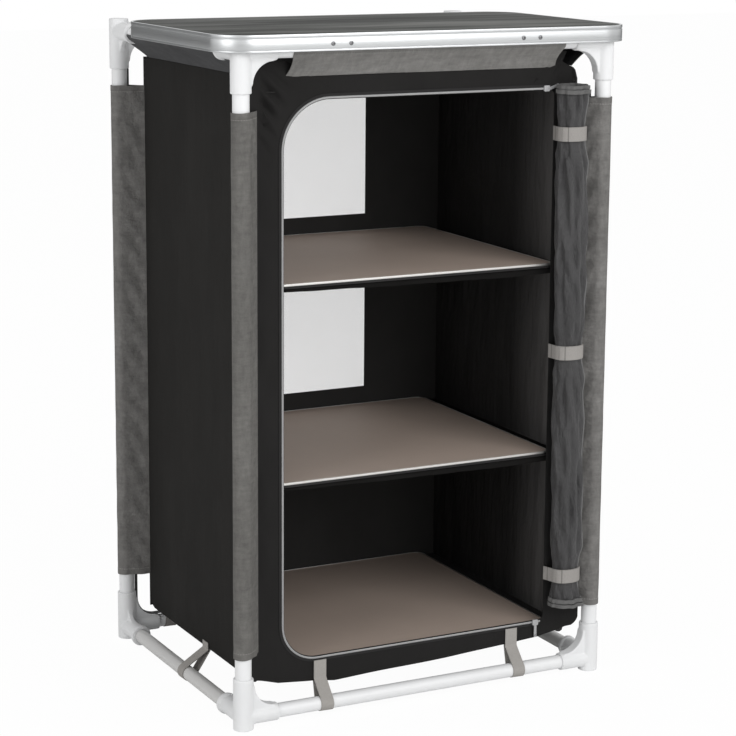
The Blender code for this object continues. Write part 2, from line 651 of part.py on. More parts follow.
def roll_limit(x):
    """The furthest back that the roll may reach: the front panel, then the sleeve's front side."""
    place = corner_place("front_right")
    tip = Vector((box_x, box_front))
    reach = tip - Vector(place)
    mouth = math.acos((SLEEVE_RADIUS - SLEEVE_TIP) / reach.length)
    angle = math.atan2(reach.y, reach.x) + mouth
    tangent = Vector(place) + Vector((math.cos(angle), math.sin(angle))) * SLEEVE_RADIUS
    start = tip - Vector((3 * SLEEVE_TIP, 0))
    slope = (tangent.y - start.y) / (tangent.x - start.x)
    return roll_face + min(0.0, slope * (x - start.x)) - (TOUCH if x > start.x else 0)


def door_roll():
    """A bundle of cloth with lengthwise folds, drawn in at the straps."""
    flat = STRAP_WIDTH / 2 + 0.003
    levels = {ROLL_BOTTOM, roll_top}
    for height in strap_heights.values():
        for step in (flat, flat + STRAP_FALL / 2, flat + STRAP_FALL):
            levels |= {height - step, height + step}
    heights = sorted(strap_heights.values())
    for low, high in zip(heights, heights[1:]):
        levels |= {low + (high - low) * share for share in (0.32, 0.44, 0.56, 0.68)}
    levels = sorted(level for level in levels if ROLL_BOTTOM <= level <= roll_top)
    work = bmesh.new()
    mesh = cylinder_mesh((0, 0, levels[0]), (0, 0, levels[-1]), 1.0, ROLL_SIDES)
    work.from_mesh(mesh)
    for level in levels[1:-1]:
        bmesh.ops.bisect_plane(work, geom=work.verts[:] + work.edges[:] + work.faces[:], dist=0.00001,
                               plane_co=(0, 0, level), plane_no=(0, 0, 1))
    for vertex in work.verts:
        z = vertex.co.z
        angle = math.atan2(vertex.co.y, vertex.co.x)
        waist = waist_share(z)
        scale = 1 - ROLL_WAIST * waist
        drift = 0.8 * math.sin(6.0 * z)
        fold = 0.6 * math.cos(5 * angle + drift) + 0.4 * math.cos(9 * angle - 2 * drift)
        radius = scale * (1 - ROLL_FOLD * (1 - waist) * (1 - fold) / 2)
        x = roll_x + ROLL_HALF_X * radius * math.cos(angle)
        y = roll_centre_y(scale) + ROLL_HALF_Y * radius * math.sin(angle)
        vertex.co = (x, min(y, roll_limit(x)), z)
    work.to_mesh(mesh)
    work.free()
    add_part("door_roll", "dark grey cloth", mesh)


def roll_strap(place, height):
    """A hook-and-loop strap, sewn at its left end beside the opening and closed over the roll."""
    scale = 1 - ROLL_WAIST
    centre_y = roll_centre_y(scale)
    paths = []
    for grow in (2 * TOUCH, 2 * TOUCH + STRAP_THICKNESS):
        half_x, half_y = ROLL_HALF_X * scale + grow, ROLL_HALF_Y * scale + grow
        path = [(roll_x - half_x, roll_face)]
        for step in range(13):
            angle = math.radians(180 + (STRAP_END_ANGLE - 180) * step / 12)
            path.append((roll_x + half_x * math.cos(angle), centre_y + half_y * math.sin(angle)))
        paths.append(path)
    outline = paths[0] + paths[1][::-1]
    strap = add_part("roll_strap_" + place, "light tape", outline_mesh(
        [outline], "XY", height - STRAP_WIDTH / 2, height + STRAP_WIDTH / 2))
    hinge_x = (paths[0][0][0] + paths[1][0][0]) / 2
    carry(f"roll_strap_{place}_axis", (hinge_x, roll_face - STRAP_THICKNESS / 2, height), [strap])


door_roll()
for place, height in strap_heights.items():
    roll_strap(place, height)

# Zip
zip_end = roll_x - ROLL_HALF_X - ZIP_END_GAP


def zip_path(offset):
    """The opening's top, left side and bottom, drawn outwards by the offset."""
    high, low, left = opening_top + offset, OPENING_BOTTOM - offset, -opening_x - offset
    top_radius, bottom_radius = OPENING_TOP_CORNER + offset, OPENING_BOTTOM_CORNER + offset
    path = [(zip_end, high)]
    path += arc((left + top_radius, high - top_radius), top_radius, 90, 180, 8)
    path += arc((left + bottom_radius, low + bottom_radius), bottom_radius, 180, 270, 8)
    return path + [(zip_end, low)]


zip_outline = zip_path(TOUCH) + zip_path(TOUCH + ZIP_WIDTH)[::-1]
add_part("door_zip", "light tape", outline_mesh([zip_outline], "XZ", zip_face, zip_face + ZIP_THICKNESS))

slider_x = zip_end - SLIDER_X
for place, z in (("top", opening_top + ZIP_WIDTH / 2), ("bottom", OPENING_BOTTOM - ZIP_WIDTH / 2)):
    low = z - SLIDER_Z / 2
    outline = [(slider_x - SLIDER_X / 2, z + SLIDER_Z / 2), (slider_x - SLIDER_X / 2, low),
               (slider_x - PULL_X / 2, low), (slider_x - PULL_X / 2, low - PULL_Z),
               (slider_x + PULL_X / 2, low - PULL_Z), (slider_x + PULL_X / 2, low),
               (slider_x + SLIDER_X / 2, low), (slider_x + SLIDER_X / 2, z + SLIDER_Z / 2)]
    back = zip_face - TOUCH
    slider = add_part("zip_slider_" + place, "light tape", outline_mesh(
        [outline], "XZ", back - SLIDER_THICKNESS, back))
    carry(f"zip_slider_{place}_axis", (slider_x, back, z), [slider])
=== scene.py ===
import math

import bmesh
import bpy
from mathutils import Matrix, Vector, noise


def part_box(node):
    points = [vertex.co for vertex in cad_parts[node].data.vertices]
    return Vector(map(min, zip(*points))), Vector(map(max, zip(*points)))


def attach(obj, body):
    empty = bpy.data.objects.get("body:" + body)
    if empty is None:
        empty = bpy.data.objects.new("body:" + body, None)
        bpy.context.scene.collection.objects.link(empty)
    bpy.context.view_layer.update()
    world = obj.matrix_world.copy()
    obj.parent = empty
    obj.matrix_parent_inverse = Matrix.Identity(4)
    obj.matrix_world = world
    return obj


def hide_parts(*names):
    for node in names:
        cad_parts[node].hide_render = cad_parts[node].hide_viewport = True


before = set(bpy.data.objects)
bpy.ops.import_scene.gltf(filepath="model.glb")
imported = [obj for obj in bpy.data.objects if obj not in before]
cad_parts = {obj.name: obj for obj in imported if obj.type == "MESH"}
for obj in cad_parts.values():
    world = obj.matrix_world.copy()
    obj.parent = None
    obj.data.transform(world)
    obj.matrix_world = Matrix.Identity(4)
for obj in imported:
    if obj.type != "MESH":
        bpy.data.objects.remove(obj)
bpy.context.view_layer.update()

print("frame loaded")
scene = bpy.context.scene


def mix(a, b, share):
    return a + (b - a) * share


def ease(value, start, end):
    share = min(max((value - start) / (end - start), 0.0), 1.0)
    return share * share * (3 - 2 * share)


def wave(x, y, z=0.0, seed=0.0):
    return noise.noise(Vector((x + seed, y - seed, z + 2 * seed)))


# tools for the mesh work
def clearSelection():
    if bpy.context.mode != "OBJECT":
        bpy.ops.object.mode_set(mode="OBJECT")
    bpy.ops.object.select_all(action="DESELECT")


def focus(piece):
    clearSelection()
    piece.select_set(True)
    bpy.context.view_layer.objects.active = piece


def settle(piece):  # the object goes to the origin, its place into its mesh
    focus(piece)
    bpy.ops.object.transform_apply(location=True, rotation=True, scale=True)


def addCube(low, high):
    clearSelection()
    low, high = Vector(low), Vector(high)
    bpy.ops.mesh.primitive_cube_add(size=1, location=(low + high) / 2, scale=high - low)
    settle(bpy.context.object)
    return bpy.context.object


def addCylinder(start, end, radius, sides=48):
    clearSelection()
    start, end = Vector(start), Vector(end)
    turn = (end - start).to_track_quat("Z", "Y").to_euler()
    bpy.ops.mesh.primitive_cylinder_add(vertices=sides, radius=radius, depth=(end - start).length,
                                        location=(start + end) / 2, rotation=turn)
    settle(bpy.context.object)
    return bpy.context.object


def startEdit(piece):
    focus(piece)
    bpy.ops.object.mode_set(mode="EDIT")
    bpy.ops.mesh.select_all(action="DESELECT")


def pickFaces(piece, test):  # the test gets a face's centre and normal
    bpy.ops.mesh.select_mode(type="FACE")
    bpy.ops.mesh.select_all(action="DESELECT")
    work = bmesh.from_edit_mesh(piece.data)
    for face in work.faces:
        face.select_set(test(face.calc_center_median(), face.normal))
    bmesh.update_edit_mesh(piece.data)


def pickEdges(piece, test):  # the test gets an edge's two ends
    bpy.ops.mesh.select_mode(type="EDGE")
    bpy.ops.mesh.select_all(action="DESELECT")
    work = bmesh.from_edit_mesh(piece.data)
    for edge in work.edges:
        edge.select_set(test(edge.verts[0].co, edge.verts[1].co))
    bmesh.update_edit_mesh(piece.data)


def push(offset):
    bpy.ops.mesh.extrude_region_move(TRANSFORM_OT_translate={"value": offset})


def swell(depth):
    bpy.ops.mesh.extrude_region_shrink_fatten(TRANSFORM_OT_shrink_fatten={"value": depth})


def cutLevel(height):  # a level cut through everything
    bpy.ops.mesh.select_all(action="SELECT")
    bpy.ops.mesh.bisect(plane_co=(0, 0, height), plane_no=(0, 0, 1))


def modify(piece, kind, **settings):
    focus(piece)
    step = piece.modifiers.new(kind, kind)
    for name, value in settings.items():
        setattr(step, name, value)
    bpy.ops.object.modifier_apply(modifier=step.name)


def combine(piece, tools, operation="DIFFERENCE"):
    for tool in tools:
        modify(piece, "BOOLEAN", operation=operation, solver="EXACT", object=tool)
        bpy.data.objects.remove(tool, do_unlink=True)


def softenEdges(piece, width, segments=2, angle=32):
    modify(piece, "BEVEL", width=width, segments=segments, limit_method="ANGLE",
           angle_limit=math.radians(angle), harden_normals=False)


def twin(piece, mirror=(1, 1, 1), about=(0, 0, 0), shift=(0, 0, 0)):
    other = piece.copy()
    other.data = piece.data.copy()
    scene.collection.objects.link(other)
    about = Vector(about)
    other.data.transform(Matrix.Translation(about + Vector(shift)) @ Matrix.Diagonal((*mirror, 1))
                         @ Matrix.Translation(-about))
    if mirror[0] * mirror[1] * mirror[2] < 0:
        other.data.flip_normals()
    return other


def join(pieces):
    focus(pieces[0])
    for piece in pieces[1:]:
        piece.select_set(True)
    bpy.ops.object.join()
    return pieces[0]


def clothGrid(columns, rows, place, flat, closed=False):  # place takes shares across and along
    clearSelection()
    bpy.ops.mesh.primitive_grid_add(x_subdivisions=columns, y_subdivisions=rows, size=2)
    piece = bpy.context.object
    mesh = piece.data
    shares = [((v.co.x + 1) / 2, (v.co.y + 1) / 2) for v in mesh.vertices]
    layer = mesh.uv_layers.active.data
    for loop in mesh.loops:
        across, along = shares[loop.vertex_index]
        layer[loop.index].uv = (across * flat[0], along * flat[1])
    for vertex, (across, along) in zip(mesh.vertices, shares):
        vertex.co = place(across, along)
    if closed:
        startEdit(piece)
        bpy.ops.mesh.select_all(action="SELECT")
        bpy.ops.mesh.remove_doubles(threshold=0.00001)
        bpy.ops.object.mode_set(mode="OBJECT")
    return piece


def mapFlat(piece):  # the map is the piece's own place across and up
    layer = piece.data.uv_layers.active.data
    for loop in piece.data.loops:
        point = piece.data.vertices[loop.vertex_index].co
        layer[loop.index].uv = (point.x + 0.3, point.z)


def thicken(piece, thickness, offset=0.0):
    modify(piece, "SOLIDIFY", thickness=thickness, offset=offset, use_even_offset=False)


def finish(piece, name, material, body, stands=(), angle=38):
    focus(piece)
    piece.name = piece.data.name = name
    piece.data.materials.clear()
    piece.data.materials.append(material)
    bpy.ops.object.shade_smooth_by_angle(angle=math.radians(angle))
    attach(piece, body)
    if stands:
        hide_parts(*stands)
    return piece


def finishCloth(piece, name, material, stands=(), body="cabinet"):
    return finish(piece, name, material, body, stands, 60)


# shader maths as plain expressions
class Field:
    def __init__(self, shade, socket):
        self.shade, self.socket = shade, socket

    def maths(self, operation, *others):
        return self.shade.node("ShaderNodeMath", {"operation": operation}, dict(enumerate((self, *others))))

    def __add__(self, other):
        return self.maths("ADD", other)

    def __mul__(self, other):
        return self.maths("MULTIPLY", other)

    def __sub__(self, other):
        return self.maths("SUBTRACT", other)

    def __rsub__(self, other):
        return self.shade.node("ShaderNodeMath", {"operation": "SUBTRACT"}, {0: other, 1: self})

    __radd__, __rmul__ = __add__, __mul__


class Shade:  # the nodes of a new material, or of a world
    def __init__(self, name, world=None):
        self.material = world or bpy.data.materials.new(name)
        self.material.use_nodes = True
        self.tree = self.material.node_tree
        self.surface = self.tree.nodes["Background" if world else "Principled BSDF"]

    def feed(self, socket, value):
        if isinstance(value, Field):
            self.tree.links.new(value.socket, socket)
        elif isinstance(value, (tuple, list)):
            size = len(socket.default_value)
            socket.default_value = tuple(value) + (1.0,) * (size - len(value))
        else:
            socket.default_value = value

    def node(self, kind, settings=None, sockets=None, output=0):
        made = self.tree.nodes.new(kind)
        for name, value in (settings or {}).items():
            if name == "stops":
                while len(made.color_ramp.elements) < len(value):
                    made.color_ramp.elements.new(1.0)
                for element, (position, shade) in zip(made.color_ramp.elements, value):
                    element.position = position
                    grey = isinstance(shade, float)
                    element.color = (shade, shade, shade, 1) if grey else (*shade, 1)
            else:
                setattr(made, name, value)
        for name, value in (sockets or {}).items():
            self.feed(made.inputs[name], value)
        return Field(self, made.outputs[output])

    def scaled(self, vector, scale, turn=(0, 0, 0)):
        return self.node("ShaderNodeMapping", {}, {"Vector": vector, "Scale": scale, "Rotation": turn})

    def where(self, scale=(1, 1, 1), turn=(0, 0, 0), uv=False):
        return self.scaled(self.node("ShaderNodeTexCoord", output="UV" if uv else "Object"), scale, turn)

    def part(self, vector, axis):
        return self.node("ShaderNodeSeparateXYZ", {}, {"Vector": vector}, output=axis)

    def noise(self, vector, scale, detail=3.0, roughness=0.55):
        return self.node("ShaderNodeTexNoise", {}, {"Vector": vector, "Scale": scale, "Detail": detail,
                                                    "Roughness": roughness})

    def ramp(self, value, stops):
        return self.node("ShaderNodeValToRGB", {"stops": stops}, {"Fac": value})

    def marks(self, noise, start, full):  # sparse marks, where the noise is high
        return self.ramp(noise, [(0.0, 0.0), (start, 0.0), (full, 1.0)])

    def blend(self, factor, first, second):
        made = self.tree.nodes.new("ShaderNodeMix")
        made.data_type = "RGBA"
        for name, value in ((0, factor), (6, first), (7, second)):
            self.feed(made.inputs[name], value)
        return Field(self, made.outputs[2])

    def bump(self, height, distance, strength=1.0, normal=None):
        sockets = {"Height": height, "Distance": distance, "Strength": strength}
        if normal:
            sockets["Normal"] = normal
        return self.node("ShaderNodeBump", {}, sockets)

    def done(self, **sockets):
        for name, value in sockets.items():
            self.feed(self.surface.inputs[name.replace("_", " ")], value)
        return self.material

    def show(self, shader):
        self.feed(self.tree.nodes["Material Output"].inputs["Surface"], shader)
        return self.material


def sinus(field, pitch):  # a wave from 0 to 1 that repeats each pitch
    return (field * (2 * math.pi / pitch)).maths("SINE") * 0.5 + 0.5


def nearLine(field, place, half):  # 1 on a line, 0 away from it
    return ((field - place).maths("ABSOLUTE") * (-1 / half) + 1).maths("MAXIMUM", 0.0)


def shadeOf(colour, factor):
    return tuple(part * factor for part in colour)


# hard finishes
def makePaint(name, colour):
    look = {"drift": 0.965, "orangePeel": 420, "peelDepth": 0.00012, "roughness": 0.34, "scuffs": 0.35}
    shade = Shade(name)
    drift = shade.noise(shade.where(), 14, 4)
    peel = shade.noise(shade.where(), look["orangePeel"], 2)
    scuffs = shade.marks(shade.noise(shade.where((60, 60, 9)), 3.0, 8, 0.7), 0.60, 0.78)
    tone = shade.blend(drift, shadeOf(colour, look["drift"]), colour)
    tone = shade.blend(scuffs * look["scuffs"], tone, shadeOf(colour, 0.80))
    return shade.done(Base_Color=tone, Roughness=scuffs * 0.2 + drift * 0.08 + look["roughness"],
                      Normal=shade.bump(peel, look["peelDepth"], 0.5), Specular_IOR_Level=0.45)


def makePlastic():
    look = {"colour": (0.735, 0.74, 0.745), "grain": 1500, "roughness": 0.46}
    shade = Shade("whiteMouldedPlastic")
    flow = shade.noise(shade.where((1, 1, 0.4)), 34, 5, 0.6)
    grain = shade.noise(shade.where(), look["grain"], 2)
    colour = shade.blend(flow, shadeOf(look["colour"], 0.94), shadeOf(look["colour"], 1.03))
    return shade.done(Base_Color=colour, Roughness=flow * 0.10 + look["roughness"],
                      Normal=shade.bump(grain, 0.0001, 0.5), Specular_IOR_Level=0.4)


def makeAluminium(name, colour, roughness, brushScale=(2.5, 2.5, 900)):
    look = {"broad": (3, 3, 40), "spots": 0.3, "brushDepth": 0.00006}
    shade = Shade(name)
    brush = shade.noise(shade.where(brushScale), 1.0, 4, 0.7)
    broad = shade.noise(shade.where(look["broad"]), 2.0, 3)
    spots = shade.marks(shade.noise(shade.where(), 60, 6, 0.75), 0.66, 0.80)
    tone = shade.blend(brush, shadeOf(colour, 0.90), shadeOf(colour, 1.05))
    tone = shade.blend(spots * look["spots"], tone, shadeOf(colour, 0.7))
    return shade.done(Base_Color=tone, Metallic=1.0, Roughness=brush * 0.16 + broad * 0.08 + roughness,
                      Normal=shade.bump(brush, look["brushDepth"], 0.6))


def makeSlate():
    look = {"dark": (0.014, 0.0145, 0.0135), "light": (0.165, 0.168, 0.160), "roughness": 0.66,
            "waver": 0.02, "broad": (1.1, 11, 1), "fine": (7, 190, 1), "depth": 0.0006}
    shade = Shade("slateLaminate")
    waver = shade.node("ShaderNodeCombineXYZ", {}, {"Y": shade.noise(shade.where((1.5, 5, 1)), 2.0, 3)})
    bent = shade.node("ShaderNodeVectorMath", {"operation": "MULTIPLY_ADD"},
                      {0: waver, 1: (0, look["waver"], 0), 2: shade.where()})
    broad = shade.noise(shade.scaled(bent, look["broad"]), 1.5, 5, 0.6)
    fine = shade.noise(shade.scaled(bent, look["fine"]), 1.2, 6, 0.7)
    height = broad * 0.8 + fine * 0.3
    veins = shade.ramp(height, [(0.38, 0.0), (0.49, 0.25), (0.57, 0.55), (0.67, 1.0)])
    tone = shade.blend(veins, look["dark"], look["light"])
    return shade.done(Base_Color=tone, Roughness=(1 - fine) * 0.16 + look["roughness"],
                      Normal=shade.bump(height, look["depth"], 0.6), Specular_IOR_Level=0.12)


def makeMoulding(name, colour, roughness=0.5):
    look = {"grain": 1300, "grainDepth": 0.00008, "clouds": 45}
    shade = Shade(name)
    grain = shade.noise(shade.where(), look["grain"], 2)
    cloud = shade.noise(shade.where(), look["clouds"], 4)
    tone = shade.blend(cloud, shadeOf(colour, 0.85), shadeOf(colour, 1.12))
    return shade.done(Base_Color=tone, Roughness=cloud * 0.1 + roughness,
                      Normal=shade.bump(grain, look["grainDepth"], 0.6))


def makeBoardFace():
    look = {"colour": (0.452, 0.366, 0.312), "roughness": 0.55, "speckle": 700, "speckleDepth": 0.00012}
    shade = Shade("taupeBoardFace")
    place = shade.where()
    cloud = shade.noise(place, 9, 5, 0.6)
    speckle = shade.noise(place, look["speckle"], 3, 0.7)
    scratches = shade.marks(shade.noise(shade.where((3, 90, 3), (0, 0, 0.5)), 3.0, 7, 0.7), 0.62, 0.70)
    tone = shade.blend(cloud, shadeOf(look["colour"], 0.92), shadeOf(look["colour"], 1.07))
    tone = shade.blend(speckle * 0.35, tone, shadeOf(look["colour"], 0.8))
    tone = shade.blend(scratches * 0.18, tone, shadeOf(look["colour"], 1.35))
    return shade.done(Base_Color=tone, Roughness=speckle * 0.12 + look["roughness"],
                      Normal=shade.bump(speckle, look["speckleDepth"], 0.7), Specular_IOR_Level=0.3)


# cloth finishes, on each piece's own map in metres
def makeCloth(name, colour, **changes):
    look = {"thread": 0.0011, "spread": 0.15, "melange": 0.0, "lift": 0.5, "weaveDepth": 0.0004, "gloss": 0.12,
            "roughness": 0.85, "sheen": 0.0, "seams": (), "stitch": 0.004, "seamHalf": 0.0007, "seamTone": 1.6,
            "crumple": ((12, 12, 6), 0.004), "fade": None}
    look.update(changes)
    shade = Shade(name)
    flat = shade.where(uv=True)
    across, along = shade.part(flat, "X"), shade.part(flat, "Y")
    warp, weft = sinus(across, look["thread"]), sinus(along, look["thread"])
    check = shade.node("ShaderNodeTexChecker", {}, {"Vector": flat, "Scale": 2 / look["thread"]}, output="Fac")
    weave = check * warp + (1 - check) * weft
    cloud = shade.noise(shade.where(), 11, 5, 0.6)
    wide, long = 1 / look["thread"] / 7, 1 / look["thread"] / 22  # flecks run both ways, over 7 by 22 threads
    fleckAlong, fleckAcross = [shade.noise(shade.where((*scale, 1), uv=True), 1.0, 4, 0.75)
                               for scale in ((wide, long), (long, wide))]
    mottle = (fleckAlong + fleckAcross) * 0.5
    tone = shade.blend(cloud, shadeOf(colour, 1 - look["spread"]), shadeOf(colour, 1 + look["spread"]))
    if look["melange"]:
        dots = shade.ramp(mottle, [(0.36, 0.0), (0.64, 1.0)])
        tone = shade.blend(dots, shade.blend(look["melange"], tone, (0, 0, 0)),
                           shade.blend(look["melange"], tone, shadeOf(colour, 2.0)))
    tone = shade.blend(weave * 0.35, tone, shade.blend(0.5, tone, (0, 0, 0)))
    height = weave + mottle * 0.4
    stretch, depth = look["crumple"]  # slack that is too fine for the mesh
    slack = shade.noise(shade.where(stretch), 1.0, 4, 0.55)
    # painted shade: darker along the same noise, for the shading of the fine wrinkles
    tone = shade.blend((slack - 0.5) * 0.9 + 0.25, tone, shade.blend(0.45, tone, (0, 0, 0)))
    if look["fade"]:  # painted light, paler towards the front: from y, to y, and how much
        start, end, paler = look["fade"]
        share = ((shade.part(shade.where(), "Y") - start) * (1 / (end - start))).maths("MAXIMUM", 0.0)
        tone = shade.blend(share.maths("MINIMUM", 1.0) * (0.5 + slack * 0.8), tone, shadeOf(colour, paler))
    for place in look["seams"]:  # sewn lines across the cloth, by their place on its map
        line = nearLine(along, place, look["seamHalf"])
        dash = shade.ramp(sinus(across, look["stitch"]), [(0.30, 0.0), (0.45, 1.0)])
        tone = shade.blend(line.maths("GREATER_THAN", 0.25) * dash, tone, shadeOf(colour, look["seamTone"]))
        height = height - line * 2.5 + line * dash * 1.8
    relief = shade.bump(height, look["weaveDepth"], look["lift"], shade.bump(slack, depth, 0.7))
    return shade.done(Base_Color=tone, Roughness=mottle * 0.12 + look["roughness"], Normal=relief,
                      Specular_IOR_Level=look["gloss"], Sheen_Weight=look["sheen"], Sheen_Roughness=0.6)


def makeWebbing(name, colour, rib=0.0016, width=0.021, spread=0.12, mark=None):
    look = {"cords": 12, "selvedge": 0.0018, "markHalf": 0.0012, "depth": 0.0004, "roughness": 0.82}
    shade = Shade(name)
    flat = shade.where(uv=True)
    across, along = shade.part(flat, "X"), shade.part(flat, "Y")
    ribs = sinus(along + shade.noise(flat, 900, 2) * 0.0004, rib)
    cords = sinus(across, width / look["cords"])
    fuzz, nap = shade.noise(flat, 2600, 4, 0.7), shade.noise(flat, 420, 3, 0.6)
    selvedge = nearLine(across, 0.0, look["selvedge"]) + nearLine(across, width, look["selvedge"])
    tone = shade.blend(fuzz, shadeOf(colour, 1 - 2 * spread), shadeOf(colour, 1 + 2 * spread))
    tone = shade.blend(ribs * cords * 0.5, tone, shadeOf(colour, 0.62))
    tone = shade.blend(selvedge * 0.5, tone, shadeOf(colour, 0.75))
    tone = shade.blend((nap - 0.4) * 1.2, tone, shadeOf(colour, 0.7))
    if mark:  # a sewn line across the tape
        tone = shade.blend(nearLine(along, mark, look["markHalf"]), tone, shadeOf(colour, 0.35))
    return shade.done(Base_Color=tone, Roughness=fuzz * 0.1 + look["roughness"], Specular_IOR_Level=0.2,
                      Normal=shade.bump(ribs * 0.5 + cords * 0.5 + fuzz * 0.4, look["depth"], 0.8))


def makeMesh():
    look = {"colour": (0.97, 0.965, 0.97), "pitch": 0.0013, "openShare": 0.96, "clearness": 0.97}
    shade = Shade("whiteWindowMesh")
    flat = shade.where(uv=True)
    across, along = shade.part(flat, "X"), shade.part(flat, "Y")
    holes = sinus(across, look["pitch"]).maths("MINIMUM", sinus(along, look["pitch"]))
    clear = holes.maths("GREATER_THAN", 1 - look["openShare"])
    tone = shade.blend(shade.noise(flat, 25, 4), shadeOf(look["colour"], 0.96), look["colour"])
    return shade.done(Base_Color=tone, Alpha=1 - clear * look["clearness"], Roughness=0.8,
                      Normal=shade.bump(1 - holes, 0.0003, 0.5), Specular_IOR_Level=0.2)


paint, plastic = makePaint("whiteEnamel", (0.77, 0.775, 0.78)), makePlastic()
# the white enamel made grey: painted shade for the side bottom rails, which lie in shade
shadedRailPaint = makePaint("paintedShadeEnamel", (0.61, 0.605, 0.595))
rimMetal = makeAluminium("brushedRim", (0.53, 0.54, 0.545), 0.27)
edgeMetal = makeAluminium("satinEdging", (0.60, 0.59, 0.57), 0.36)
rivetMetal = makeAluminium("rivetSteel", (0.20, 0.20, 0.205), 0.30, (200, 200, 200))
slate, boardFace = makeSlate(), makeBoardFace()
clipPlastic = makeMoulding("greyMoulding", (0.13, 0.13, 0.135))
sliderEnamel = makeMoulding("greyZipEnamel", (0.36, 0.36, 0.365), 0.4)
blackCloth = makeCloth("blackCoatedCloth", (0.0205, 0.0195, 0.0182), spread=0.18, lift=0.35, gloss=0.14,
                       crumple=((9, 9, 2.2), 0.010))
liningCloth = makeCloth("blackLiningCloth", (0.040, 0.0388, 0.0378), spread=0.16, lift=0.3, gloss=0.08,
                        crumple=((9, 9, 4), 0.006))
frontCloth = makeCloth("blackFrontCloth", (0.0200, 0.0192, 0.0188), spread=0.14, lift=0.35,
                       crumple=((14, 14, 5), 0.006))
# black cloth made darker still: painted shade for the slings' bands under the boards
shadedSlingCloth = makeCloth("paintedShadeSlingCloth", (0.0105, 0.0100, 0.0096), spread=0.2, lift=0.3, gloss=0.05)
# a lining with painted light, paler towards the front where the light from the door falls
innerCloth = makeCloth("sheenLiningCloth", (0.030, 0.029, 0.0285), spread=0.2, lift=0.3, gloss=0.1,
                       crumple=((10, 26, 7), 0.020), fade=(-0.03, -0.20, 4.6))
doorCloth = makeCloth("darkGreyDoorCloth", (0.037, 0.036, 0.037), spread=0.36, lift=0.4, gloss=0.42,
                      roughness=0.55, sheen=0.1, crumple=((34, 34, 13), 0.030))
hemCloth = makeCloth("doorHemCloth", (0.160, 0.158, 0.156), thread=0.0010, spread=0.12, gloss=0.25)
melange = {"thread": 0.0012, "melange": 0.22, "lift": 0.6, "seams": (0.010, 0.807), "seamTone": 1.5}
sleeveCloth = makeCloth("greySleeveCloth", (0.168, 0.163, 0.154), **melange, spread=0.12)
paleSleeveCloth = makeCloth("paleSleeveCloth", (0.208, 0.202, 0.194), **melange, spread=0.20,
                            crumple=((26, 26, 30), 0.012))
valanceCloth = makeCloth("greyValanceCloth", (0.260, 0.254, 0.243), thread=0.0012, melange=0.2, lift=0.6,
                         seams=(0.004,), seamTone=0.6)
# the valance cloth made darker: painted shade for the side valances, which lie in shade under the rim
shadedValanceCloth = makeCloth("paintedShadeValanceCloth", (0.098, 0.098, 0.101), thread=0.0012, spread=0.12,
                             melange=0.15, lift=0.6)
webbing = makeWebbing("greyWebbing", (0.37, 0.353, 0.333))
strapTape = makeWebbing("lightHookTape", (0.325, 0.309, 0.293), 0.0011, 0.022, 0.30, mark=0.0085)
# a dark tape for painted shade on the rear uprights' inner sides
shadeTape = makeWebbing("paintedShadeTape", (0.070, 0.069, 0.070), 0.0012, 0.010)
zipTape = makeWebbing("blackZipTape", (0.028, 0.027, 0.027), 0.0012, 0.006)
zipCoil = makeMoulding("greyZipCoil", (0.30, 0.30, 0.30), 0.45)
darkCoil = makeMoulding("darkZipCoil", (0.13, 0.13, 0.13), 0.5)
meshCloth = makeMesh()
print("materials made")


# sizes read from the CAD frame
def middle(node):
    low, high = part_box(node)
    return (low + high) / 2


uprightX, frontY = middle("upright_front_right").xy
rearY = middle("upright_rear_right").y
middleY = (frontY + rearY) / 2
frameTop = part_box("top_connector_front_right")[1].z
topRailZ, bottomRailZ = middle("top_rail_front").z, middle("bottom_rail_front").z
uprightRadius = (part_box("upright_front_right")[1].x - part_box("upright_front_right")[0].x) / 2
boxFront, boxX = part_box("front_panel")[0].y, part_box("front_panel")[1].x
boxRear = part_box("rear_panel")[1].y
boxBottom, boxTop = (corner.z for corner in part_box("rear_panel"))
railPlace = {"front": frontY, "rear": rearY, "left": -uprightX, "right": uprightX}
wallPlace = {"front": boxFront, "rear": boxRear, "left": -boxX, "right": boxX}
cornerSigns = {"front_left": (-1, -1), "front_right": (1, -1), "rear_left": (-1, 1), "rear_right": (1, 1)}


def cornerPlace(corner):  # the middle of its upright, from above
    side, end = cornerSigns[corner]
    return Vector((side * uprightX, frontY if end < 0 else rearY))


# tubes
def makeTube(node):
    tubeShape = {"sides": 48, "wall": 0.0012, "bore": 0.040, "chamfer": 0.0004}
    low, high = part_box(node)
    size, centre = high - low, (low + high) / 2
    axis = max(range(3), key=lambda index: size[index])
    radius = min(size) / 2
    reach = Vector([size[index] / 2 if index == axis else 0 for index in range(3)])
    tube = addCylinder(centre - reach, centre + reach, radius, tubeShape["sides"])
    startEdit(tube)
    pickFaces(tube, lambda place, normal: abs(normal[axis]) > 0.9)
    bpy.ops.mesh.inset(thickness=tubeShape["wall"])
    swell(-tubeShape["bore"])
    softenEdges(tube, tubeShape["chamfer"], 1, 60)
    # the side bottom rails get the enamel with painted shade
    coat = shadedRailPaint if node in ("bottom_rail_left", "bottom_rail_right") else paint
    finish(tube, node.replace("upright", "post").replace("rail", "tube"), coat, "cabinet", [node])


for corner in cornerSigns:
    makeTube("upright_" + corner)
for level in ("bottom", "top"):
    for side in ("front", "rear", "left", "right"):
        makeTube(level + "_rail_" + side)
print("tubes made")


